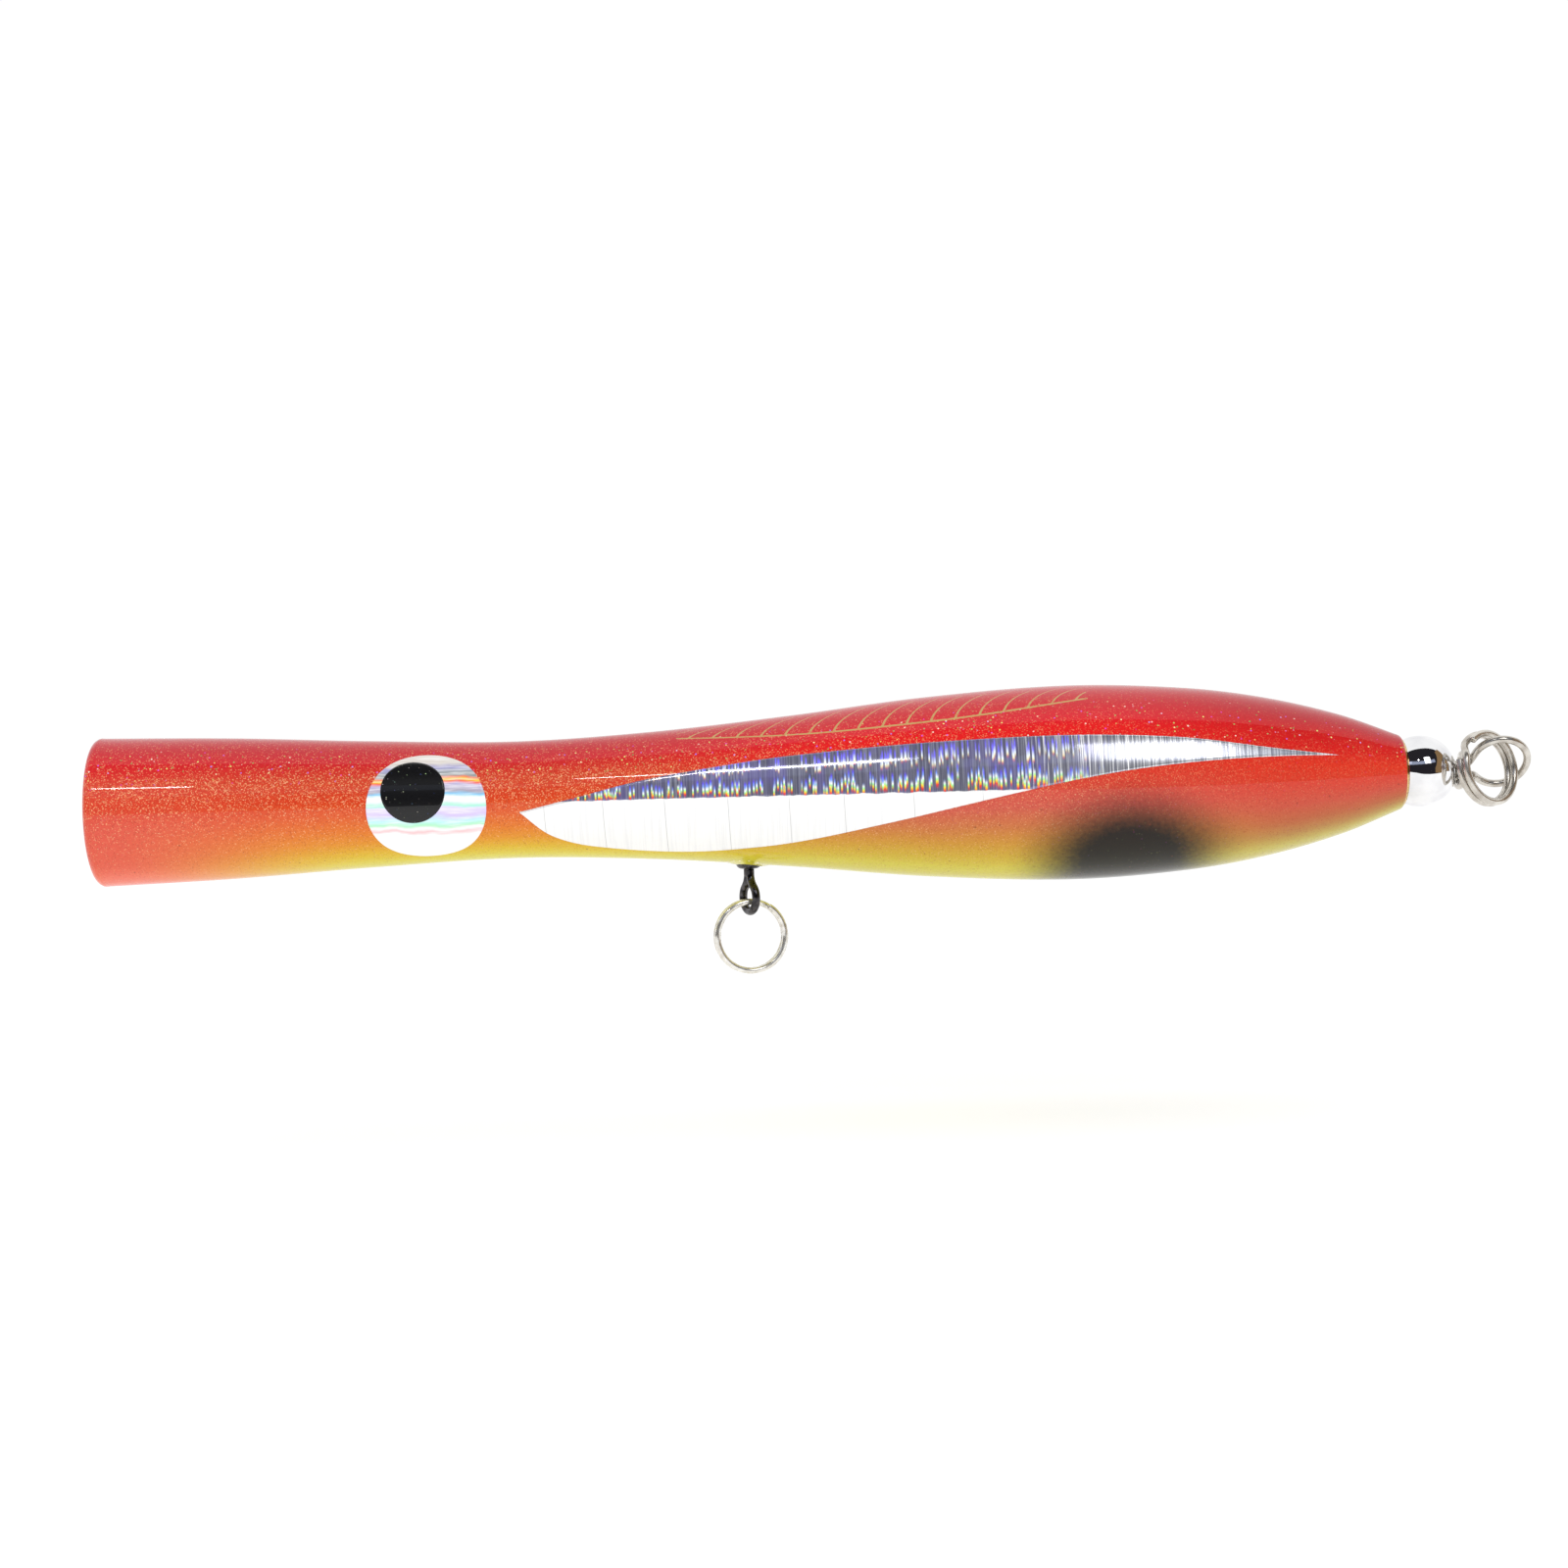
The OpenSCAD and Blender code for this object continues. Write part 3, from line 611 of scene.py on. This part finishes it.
def epoxy_paint():
    """Glossy yellow-green epoxy with pale flecks like the belly's glitter, partly glitter colour and partly painted
    glints.
    """
    p = Paint("swivel_epoxy", roughness=0.25, coat=1.0, coat_roughness=0.02)
    distance, chance, _, _ = p.cells(1900)
    # painted glints: pale bright flecks on the epoxy
    glitter_glint = p.times(p.above(chance, 0.80), p.smooth(distance, 0.42, 0.26))
    colour = p.mixed(p.smooth(p.noise(500, 2.0), 0.35, 0.70), (0.58, 0.52, 0.02), (0.72, 0.66, 0.04))
    colour = p.mixed(p.times(glitter_glint, 0.85), colour, (1.0, 0.93, 0.62))
    p.bump(p.noise(700, 2.0), 0.00006)
    return p.set(Base_Color=colour)


def cast_metal():
    """Dull grey lead with a rough cast skin."""
    p = Paint("lead_slug", roughness=0.6, metallic=0.9)
    p.bump(p.noise(1800, 4.0), 0.00005, coat=False)
    return p.set(Base_Color=p.mixed(p.noise(900, 4.0), (0.20, 0.20, 0.22), (0.42, 0.42, 0.44)))


PAINT, FOIL, EYE, PUPIL = body_paint(), foil_paint(), eye_paint(), pupil_paint()
STEEL = metal("wire_steel", (0.72, 0.69, 0.63), (0.50, 0.46, 0.41), 0.22, (500, 500, 500), 0.30, 0.000001, 0.88)
BALL = metal("ball_polish", (0.90, 0.90, 0.91), (0.78, 0.78, 0.80), 0.035, (300, 300, 300), 0.10, 0.000001)
RING = metal("ring_polish", (0.90, 0.89, 0.86), (0.66, 0.63, 0.57), 0.16, (900, 900, 900), 0.22, 0.000001, 0.78)
NICKEL = metal("black_nickel", (0.115, 0.11, 0.115), (0.035, 0.034, 0.036), 0.20, (900, 900, 900), 0.3)
BRASS = metal("brass_fitting", (0.83, 0.60, 0.27), (0.58, 0.38, 0.14), 0.14, (200, 1500, 1500), 0.3)
EPOXY, LEAD = epoxy_paint(), cast_metal()

# ---------------------------------------------------------------- the turned body
SIDES = 224
EDGE_ROUND = 0.35
WOOD_BORE_R = BORE_R + 0.3
RIM_R = CUP_R + 0.42
# the grommet's flange and sleeve, and the seat's head and sleeve: radii, depths and lengths
FLANGE_R, FLANGE_X, FLANGE_DEEP = 3.3, CUP_DEPTH - 0.7, 0.9
SLEEVE_R, SLEEVE_LONG = 2.2, 8.5
SEAT_R, SEAT_SLEEVE_R, SEAT_PROUD, SEAT_DEEP, SEAT_LONG = 6.0, 3.0, 0.3, 4.9, 17
seat_end = LENGTH + SEAT_PROUD
sphere_r = (CUP_R**2 + CUP_DEPTH**2) / (2 * CUP_DEPTH)
sphere_x = CUP_DEPTH - sphere_r
stations = np.unique(np.r_[
    np.linspace(LIP, 24, 40), np.linspace(24, 214, 260), np.linspace(214, LENGTH - EDGE_ROUND, 40)])
cup = arc(sphere_x, 0, sphere_r, cap_angle(FLANGE_R + 0.02, sphere_r), 180 - cap_angle(CUP_R, sphere_r) - 4.0, 56)
outline = [(x, r) for x, r in cup if x > 0.25]
outline += arc(EDGE_ROUND, RIM_R, EDGE_ROUND, -80, -180, 7)
outline += [(0.0, mix(RIM_R, MOUTH_R - LIP, t)) for t in (0.35, 0.7)]
outline += arc(LIP, MOUTH_R - LIP, LIP, 180, 96, 16)
outline += [(x, float(body_r(x))) for x in stations]
outline += arc(LENGTH - EDGE_ROUND, TAIL_R - 0.33, EDGE_ROUND, 60, 0, 5)
outline += [(LENGTH, SEAT_R + 0.02), (seat_end - SEAT_DEEP, SEAT_R), (seat_end - SEAT_DEEP, SEAT_SLEEVE_R),
            (seat_end - SEAT_LONG, SEAT_SLEEVE_R), (seat_end - SEAT_LONG, WOOD_BORE_R)]
outline += [(FLANGE_X + SLEEVE_LONG, WOOD_BORE_R), (FLANGE_X + SLEEVE_LONG, SLEEVE_R),
            (FLANGE_X + FLANGE_DEEP, SLEEVE_R), (FLANGE_X + FLANGE_DEEP, FLANGE_R), (FLANGE_X + 0.55, FLANGE_R)]
pts, fcs = lathe(outline, SIDES)
piece("painted_body", pts, fcs, "lure_body", PAINT,
      ("wooden_body", "plug_front", "plug_middle", "plug_rear"))

# ---------------------------------------------------------------- foil leaves and eyes
# edges of the leaf: (share of the lure's length, angle above the horizontal in degrees)
LEAF_UPPER = [(0.327, -12), (0.37, 0.4), (0.418, 13.5), (0.475, 22.3), (0.536, 27.6),
              (0.684, 28.9), (0.819, 26.6), (0.893, 20.5), (0.9455, 17.2)]
LEAF_LOWER = [(0.327, -12), (0.351, -38.5), (0.383, -53), (0.444, -59), (0.51, -47.3),
              (0.601, -24), (0.697, -5.5), (0.793, 7), (0.9455, 17.2)]
# thickness, lift of the face and of its edge, and how far in the edge is rounded, in mm
FILM, PROUD, EDGE_LIFT, EDGE_WIDTH = 0.08, 0.14, 0.03, 0.30
DISC_FILM, DISC_DROP = 0.05, 0.10


def leaf(side):
    """The foil on one flank, with a slightly uneven cut edge."""
    share = mix(0.32705, 0.9452, (np.arange(361) / 360) ** 1.35)
    x = share * LENGTH
    low, high = curve(LEAF_LOWER, share), curve(LEAF_UPPER, share)
    gap = np.maximum(high - low, 0.05)
    ragged = 0.10 * np.sin(x * 9.0) + 0.07 * np.sin(x * 23.0 + 1.0)
    width = np.radians(gap) * body_r(x)
    inset = np.minimum(0.28 / width, 0.30)
    between = [mix(inset, 1 - inset, t) for t in np.linspace(0, 1, 42)[1:-1]]
    v = np.stack([0 * x, inset * 0.35, inset * 0.7, inset] + between
                 + [1 - inset, 1 - inset * 0.7, 1 - inset * 0.35, 0 * x + 1], 1)
    grid_x = np.repeat(x[:, None], v.shape[1], 1)
    grid_a = low[:, None] + gap[:, None] * v + (ragged[:, None] * np.clip(gap[:, None] / 10, 0, 1)) * (v - 0.5)
    edge_mm = np.minimum(v, 1 - v) * width[:, None]
    lift = EDGE_LIFT + (PROUD - EDGE_LIFT) * np.sin(np.clip(edge_mm / EDGE_WIDTH, 0, 1) * np.pi / 2)
    return film(grid_x, grid_a, lift, FILM, side)


def disc(share, angle, diameter, proud, side):
    """A round sticker wrapped on the flank, with its edge turned down to the surface."""
    radii = np.r_[0.04, np.linspace(0.1, diameter / 2 - 0.35, 26), diameter / 2 - np.array([0.22, 0.12, 0.05, 0.0])]
    t = np.linspace(0, 2 * np.pi, 145)[:-1]
    u = radii[:, None] * np.cos(t)
    v = radii[:, None] * np.sin(t)
    x = share * LENGTH + u
    a = angle + np.degrees(v / body_r(x))
    inset = diameter / 2 - radii
    lift = (proud - DISC_DROP) + DISC_DROP * np.sin(np.clip(inset / EDGE_WIDTH, 0, 1) * np.pi / 2)
    lift = np.repeat(lift[:, None], len(t), 1)
    m, n = x.shape
    top = flank(x, a, lift, side).reshape(-1, 3)
    low = flank(x, a, lift - DISC_FILM, side).reshape(-1, 3)
    faces = [f[::-1] for f in rings_to_faces(m, n)]
    faces += [tuple(i + m * n for i in f[::-1]) for f in faces]
    last = (m - 1) * n
    faces += [(last + (k + 1) % n, last + k, last + k + m * n, last + (k + 1) % n + m * n) for k in range(n)]
    # close the small hole in the middle of both layers
    middle = np.array([share * LENGTH]), np.array([angle])
    pts = np.vstack([top, low] + [flank(*middle, np.array([lift]), side) for lift in (proud, proud - DISC_FILM)])
    faces += [(2 * m * n, (k + 1) % n, k) for k in range(n)]
    faces += [(2 * m * n + 1, k + m * n, (k + 1) % n + m * n) for k in range(n)]
    if side > 0:
        faces = [f[::-1] for f in faces]
    return pts, faces


# share of the lure's length, angle above the horizontal, diameter and lift of each disc
EYE_DISC, PUPIL_DISC = (0.2574, -5.0, 20.7, 0.12), (0.2476, 11.0, 11.1, 0.22)
for side, name in ((-1, "left"), (1, "right")):
    pts, fcs = leaf(side)
    piece("leaf_" + name, pts, fcs, "lure_body", FOIL, ("foil_" + name,))
    pts, fcs = disc(*EYE_DISC, side)
    piece("eye_" + name, pts, fcs, "lure_body", EYE, ("eye_disc_" + name,))
    pts, fcs = disc(*PUPIL_DISC, side)
    piece("iris_" + name, pts, fcs, "lure_body", PUPIL, ("pupil_" + name,))

# ---------------------------------------------------------------- brass fittings and ball
SOCKET_R = BALL_R + 0.06
rim_r = math.sqrt(SOCKET_R**2 - (BALL_X - LENGTH - SEAT_PROUD) ** 2)
seat = arc(BALL_X, 0, SOCKET_R, 180 - cap_angle(BORE_R, SOCKET_R), 180 - cap_angle(rim_r, SOCKET_R), 30)
seat += [(seat_end, rim_r + 0.04), (seat_end, SEAT_R - 0.15), (LENGTH + 0.15, SEAT_R), (seat_end - SEAT_DEEP, SEAT_R),
         (seat_end - SEAT_DEEP, SEAT_SLEEVE_R), (seat_end - SEAT_LONG, SEAT_SLEEVE_R), (seat_end - SEAT_LONG, BORE_R)]
pts, fcs = lathe(seat, 128)
piece("ball_seat", pts, [f[::-1] for f in fcs], "lure_body", BRASS, ("tail_seat",))
collar = [(FLANGE_X, BORE_R + 0.15), (FLANGE_X, FLANGE_R - 0.2), (FLANGE_X + 0.2, FLANGE_R),
          (FLANGE_X + FLANGE_DEEP, FLANGE_R), (FLANGE_X + FLANGE_DEEP, SLEEVE_R), (FLANGE_X + SLEEVE_LONG, SLEEVE_R),
          (FLANGE_X + SLEEVE_LONG, BORE_R), (FLANGE_X + 0.15, BORE_R)]
pts, fcs = lathe(collar, 96)
piece("cup_grommet", pts, fcs, "lure_body", BRASS, ("front_grommet",))
flat_r = math.sqrt(BALL_R**2 - (BALL_FLAT - BALL_X) ** 2)
ball = arc(BALL_X, 0, BALL_R, 180 - cap_angle(BORE_R, BALL_R), cap_angle(flat_r, BALL_R), 90)
ball += [(BALL_FLAT, flat_r - 0.12), (BALL_FLAT, BORE_R + 0.1), (BALL_FLAT - 0.1, BORE_R)]
pts, fcs = lathe(ball, 160)
piece("polished_ball", pts, fcs, "tail_ball", BALL, ("tail_ball",))

# ---------------------------------------------------------------- the doubled through-wire
TIE_EYE_R, TIE_LEG = 3.7, 6.5
STRAIGHT_TO = LENGTH + 10.8
TAIL_EYE_AT, TAIL_EYE_R, TAIL_EYE_ROLL = np.array([LENGTH + 17.2, -1.0, 1.3]), 4.9, math.radians(38)
WRAP_R, PITCH, TURNS, WRAP_FROM, WRAP_X = 2.75, 1.42, 1.5, 35, LENGTH + 11.9
BENT_R = 0.67


def in_eye(a):
    """The tail eye's wire at an angle, in degrees."""
    a = np.radians(np.asarray(a, float))
    across, up = math.sin(TAIL_EYE_ROLL), math.cos(TAIL_EYE_ROLL)
    return TAIL_EYE_AT + TAIL_EYE_R * np.stack([np.cos(a), -np.sin(a) * across, np.sin(a) * up], -1)


def along_eye(a):
    """The direction in which the wire runs there."""
    a = math.radians(a)
    return np.array([math.sin(a), math.cos(a) * math.sin(TAIL_EYE_ROLL), -math.cos(a) * math.cos(TAIL_EYE_ROLL)])


def wrap(t):
    """The wraps behind the ball, from their start (0) to the cut end (1)."""
    t = np.asarray(t, float)
    a = np.radians(WRAP_FROM + 360 * TURNS * t)
    return np.stack([WRAP_X - PITCH * TURNS * t, -WRAP_R * np.cos(a), -WRAP_R * np.sin(a)], -1)


tie = eye_path(TIE_EYE_R, TIE_LEG, LEG_Z) + (SETBACK, 0, 0)
straight = np.linspace(SETBACK + TIE_LEG + 3, STRAIGHT_TO, 60)
into_wrap = [0, 1.6 * math.sin(math.radians(WRAP_FROM)), -1.6 * math.cos(math.radians(WRAP_FROM))]
route = np.vstack([
    [[STRAIGHT_TO + 0.5, 0, -LEG_Z]], np.stack([straight[::-1], 0 * straight, 0 * straight - LEG_Z], 1), tie[::-1],
    np.stack([straight, 0 * straight, 0 * straight + LEG_Z], 1),
    bend([STRAIGHT_TO, 0, LEG_Z], [1.3, 0, 0], in_eye(140), 1.3 * along_eye(140), 22),
    in_eye(np.arange(137, -126, -3)),
    bend(in_eye(-128), 1.6 * along_eye(-128), wrap(0.0), into_wrap, 28),
    wrap(np.linspace(0, 1, 110)[1:])])
pts, fcs = sweep(resample(route, 0.30), BENT_R, 22)
piece("bent_wire", pts, fcs, "through_wire", STEEL, ("through_wire",))

# ---------------------------------------------------------------- belly swivel
BARREL_R, BARREL_LONG, BARREL_WALL, BARREL_END = 2.4, 8.3, 0.6, 1.0
DOME_IN, DOME_HIGH = 1.2, 1.4
HOOK_EYE_R, HOOK_LEG, HOOK_GAP, HOOK_WIRE_R, HOOK_TURN = 2.45, 4.1, 0.45, 0.73, -62
PIN_R, PIN_HEAD_R = 0.94, 1.55
belly_z = -float(body_r(SWIVEL_X))
foot = belly_z - 0.85
top = foot + BARREL_LONG
hook_bar = belly_z - 8.35
quarter = [math.radians(a) for a in range(0, 86, 5)]
dome = [(BARREL_R - DOME_IN * (1 - math.cos(a)), DOME_HIGH * math.sin(a)) for a in quarter]
low_dome = [(foot + DOME_HIGH - h, r) for r, h in dome]
high_dome = [(top - DOME_HIGH + h, r) for r, h in reversed(dome)]
barrel = [(foot, 1.06)] + low_dome[::-1] + high_dome[::-1] + [(top, 1.06)]
barrel += [(top - BARREL_END, 1.01), (top - BARREL_END, BARREL_R - BARREL_WALL),
           (foot + BARREL_END, BARREL_R - BARREL_WALL), (foot + BARREL_END, 1.01)]
pts, fcs = lathe(barrel, 96, "z", (SWIVEL_X, 0, 0))
piece("barrel_shell", pts, fcs, "lure_body", NICKEL, ("swivel_barrel",))

eye_z = hook_bar + HOOK_EYE_R
loop = turn(turn(eye_path(HOOK_EYE_R, HOOK_LEG, HOOK_GAP), "Y", -90), "Z", HOOK_TURN) + (SWIVEL_X, 0, eye_z)
pin_z = eye_z + 3.8
pin_top = foot + 1.0 + 0.15 + 0.9
pin = [(pin_z - 0.25, 0.0), (pin_z - 0.25, 0.55), (pin_z, 0.88), (pin_z + 0.15, PIN_R),
       (pin_top - 0.9, PIN_R), (pin_top - 0.9, PIN_HEAD_R), (pin_top, PIN_HEAD_R), (pin_top, 0.0)]
pts, fcs = joined(sweep(resample(loop, 0.16), HOOK_WIRE_R, 22), lathe(pin, 48, "z", (SWIVEL_X, 0, 0), closed=False))
piece("hook_loop", pts, fcs, "belly_hook_eye", NICKEL, ("swivel_hook_eye",))

# glossy mound of epoxy round the barrel, its sleeve going down into the wood
MOUND_R, MOUND_RISE, MOUND_SLEEVE_R = 4.3, 0.30, 3.4
rows = np.r_[BARREL_R, np.linspace(BARREL_R + 0.15, MOUND_R + 0.1, 16)]
t = np.linspace(0, 2 * np.pi, 97)[:-1]
spread = np.where(rows[:, None] > 2.6, 1 + 0.10 * np.sin(2 * t + 0.6) + 0.06 * np.sin(3 * t), 1)
gx = rows[:, None] * np.cos(t) * spread
gy = rows[:, None] * np.sin(t) * spread
rise = MOUND_RISE * np.clip(1 - (rows - BARREL_R) / (MOUND_R - BARREL_R), 0, 1) ** 1.5
gz = -np.sqrt(body_r(SWIVEL_X + gx) ** 2 - gy**2) - rise[:, None] + np.where(rows[:, None] > MOUND_R, 0.12, 0.0)
mound = np.stack([SWIVEL_X + gx, gy, gz], -1).reshape(-1, 3)
sleeve_top = belly_z + 5.4
sleeve = [np.stack([SWIVEL_X + r * np.cos(t), r * np.sin(t), 0 * t + sleeve_top], 1)
          for r in (MOUND_SLEEVE_R, BARREL_R)]
pts = np.vstack([mound] + sleeve)
fcs = rings_to_faces(len(rows) + 2, len(t), True)
piece("swivel_mound", pts, fcs, "lure_body", EPOXY, ("swivel_bedding",))

# ---------------------------------------------------------------- split rings
RING_R = (13.3 - 1.16) / 2
# radius of the wire and half the distance between the two turns; the tail ring reads heavier
BELLY_WIRE, BELLY_LAYER = 0.57, 0.60
TAIL_WIRE, TAIL_LAYER = 0.65, 0.72


def split_ring(start, layer):
    """Two turns of wire about the Y axis, crossing from one layer to the other; start is an angle in degrees."""
    a = np.arange(0, 684.1, 3.0)
    t = np.clip((a - 322) / 36, 0, 1)
    s = t * t * (3 - 2 * t)
    a = np.radians(start - a)
    return np.stack([RING_R * np.cos(a), -layer + 2 * layer * s, RING_R * np.sin(a)], 1)


belly_path = turn(split_ring(58, BELLY_LAYER), "Z", 13) + (SWIVEL_X, 0, hook_bar - 4.35)
pts, fcs = sweep(resample(belly_path, 0.22), BELLY_WIRE, 20)
piece("belly_ring_coil", pts, fcs, "belly_ring", RING, ("belly_split_ring",))
tail_path = turn(turn(split_ring(126, TAIL_LAYER), "X", -9.2), "Z", 36) + (LENGTH + 14.6, -3.2, 0.2)
pts, fcs = sweep(resample(tail_path, 0.22), TAIL_WIRE, 20)
piece("tail_ring_coil", pts, fcs, "tail_ring", STEEL, ("tail_split_ring",))

# ---------------------------------------------------------------- hidden pieces keep their CAD shape
for node, material in (("swivel_upper_eye", NICKEL), ("ballast_front", LEAD), ("ballast_middle", LEAD),
                       ("ballast_rear", LEAD)):
    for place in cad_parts[node].material_slots:
        place.material = material

# ---------------------------------------------------------------- stage
def glow(name, colour, strength):
    """A plain matt material that gives off light."""
    m = bpy.data.materials.new(name)
    m.use_nodes = True
    shader = m.node_tree.nodes["Principled BSDF"]
    shader.inputs["Base Color"].default_value = (*colour, 1)
    shader.inputs["Emission Color"].default_value = (*colour, 1)
    shader.inputs["Emission Strength"].default_value = strength
    shader.inputs["Specular IOR Level"].default_value = 0.0
    shader.inputs["Roughness"].default_value = 1.0
    return m


def stage_mesh(name, points, faces, material):
    """A mesh of the studio, in metres, which is not part of the lure."""
    mesh = bpy.data.meshes.new(name)
    mesh.from_pydata(points, [], faces)
    obj = bpy.data.objects.new(name, mesh)
    bpy.context.scene.collection.objects.link(obj)
    mesh.materials.append(material)
    return obj


FLOOR_Z, MID_X, LAMPS_AT = -0.058, 0.116, 5.0
# front edge of the table from left to right, then its two far corners
TABLE = [(-3, -3), (-1.2, -1.9), (-0.07, -0.80), (0.10, -0.53), (0.24, -0.38), (0.36, -0.34), (3, -0.34),
         (3, 3), (-3, 3)]
stage_mesh("floor", [(x, y, FLOOR_Z) for x, y in TABLE], [tuple(range(len(TABLE)))],
           glow("white_table", (0.86, 0.86, 0.86), 0.20))


def toward(azimuth, elevation, distance):
    """The point at a distance from the lure's middle, in a direction given in degrees."""
    a, e = math.radians(azimuth), math.radians(elevation)
    return (MID_X + distance * math.sin(a) * math.cos(e), -distance * math.cos(a) * math.cos(e),
            distance * math.sin(e))


def card(name, radius, colour, azimuths, elevations, columns=48, levels=16):
    """Part of a big sphere round the lure, seen only in reflections.

    Azimuths are degrees to the right of the camera's side, elevations degrees above the horizontal at an azimuth.
    """
    material = glow(name, colour, 1.0)
    material.node_tree.nodes["Principled BSDF"].inputs["Base Color"].default_value = (0, 0, 0, 1)
    points = []
    for i in range(levels + 1):
        for j in range(columns + 1):
            degrees = mix(*azimuths, j / columns)
            low, high = (edge(degrees) for edge in elevations)
            points.append(toward(degrees, mix(low, high, i / levels), radius))
    row = columns + 1
    faces = [(i * row + j, i * row + j + 1, (i + 1) * row + j + 1, (i + 1) * row + j)
             for i in range(levels) for j in range(columns)]
    obj = stage_mesh(name, points, faces, material)
    for rays in ("camera", "diffuse", "transmission", "volume_scatter", "shadow"):
        setattr(obj, "visible_" + rays, False)


def ceiling_edge(a):
    """Elevation of the straight edge where the dim room's ceiling ends."""
    return math.degrees(math.atan(4.7 * math.cos(math.radians(0.9 * a))))


card("dim_room", 6.0, (0.020, 0.018, 0.022), (-95, 95), (lambda a: -35, ceiling_edge))
card("lit_wall", 5.8, (0.32, 0.36, 0.48), (-85, 46), (lambda a: 23 + 0.04 * a, lambda a: 33 + 0.02 * a))
card("far_window", 5.5, (0.62, 0.68, 0.86), (-90, -36), (lambda a: 26 + 0.04 * a, lambda a: 32 + 0.02 * a))
card("brown_door", 5.6, (0.26, 0.16, 0.075), (40, 92), (lambda a: -5, lambda a: min(8 + 1.45 * (a - 40), 50)))


def lamp(name, azimuth, elevation, wide, tall, radiance, distance=LAMPS_AT):
    """A far rectangular lamp; its place and its width and height are in degrees as seen from the lure."""
    data = bpy.data.lights.new(name, "AREA")
    data.shape = "RECTANGLE"
    data.size, data.size_y = distance * math.radians(wide), distance * math.radians(tall)
    data.energy = radiance * math.pi * data.size * data.size_y
    obj = bpy.data.objects.new(name, data)
    bpy.context.scene.collection.objects.link(obj)
    obj.location = toward(azimuth, elevation, distance)
    away = obj.location - Vector((MID_X, 0, 0))
    obj.rotation_euler = away.to_track_quat("Z", "Y").to_euler()
    obj.visible_camera = False


lamp("lamp_left", -13.2, 36.5, 3.8, 1.4, 58.0)
lamp("lamp_right", 19.5, 34.5, 17.0, 20.0, 4.0)

world = bpy.data.worlds.new("studio")
bpy.context.scene.world = world
world.use_nodes = True
world.node_tree.nodes["Background"].inputs["Color"].default_value = (1, 1, 1, 1)
world.node_tree.nodes["Background"].inputs["Strength"].default_value = 1.02
bpy.context.scene.view_settings.view_transform = "Standard"

# ---------------------------------------------------------------- camera
FIELD_OF_VIEW, CAMERA_ROLL, CAMERA_AT = 28.9, 1.8, (MID_X, -0.536, 0.0013)
camera_data = bpy.data.cameras.new("camera")
camera_data.sensor_width = 36
camera_data.lens = 18 / math.tan(math.radians(FIELD_OF_VIEW / 2))
camera_data.clip_start, camera_data.clip_end = 0.01, 20
camera = bpy.data.objects.new("camera", camera_data)
bpy.context.scene.collection.objects.link(camera)
roll = math.radians(CAMERA_ROLL)
right, up = Vector((math.cos(roll), 0, -math.sin(roll))), Vector((math.sin(roll), 0, math.cos(roll)))
back = right.cross(up)
camera.matrix_world = Matrix.Translation(CAMERA_AT) @ Matrix((right, up, back)).transposed().to_4x4()
bpy.context.scene.camera = camera
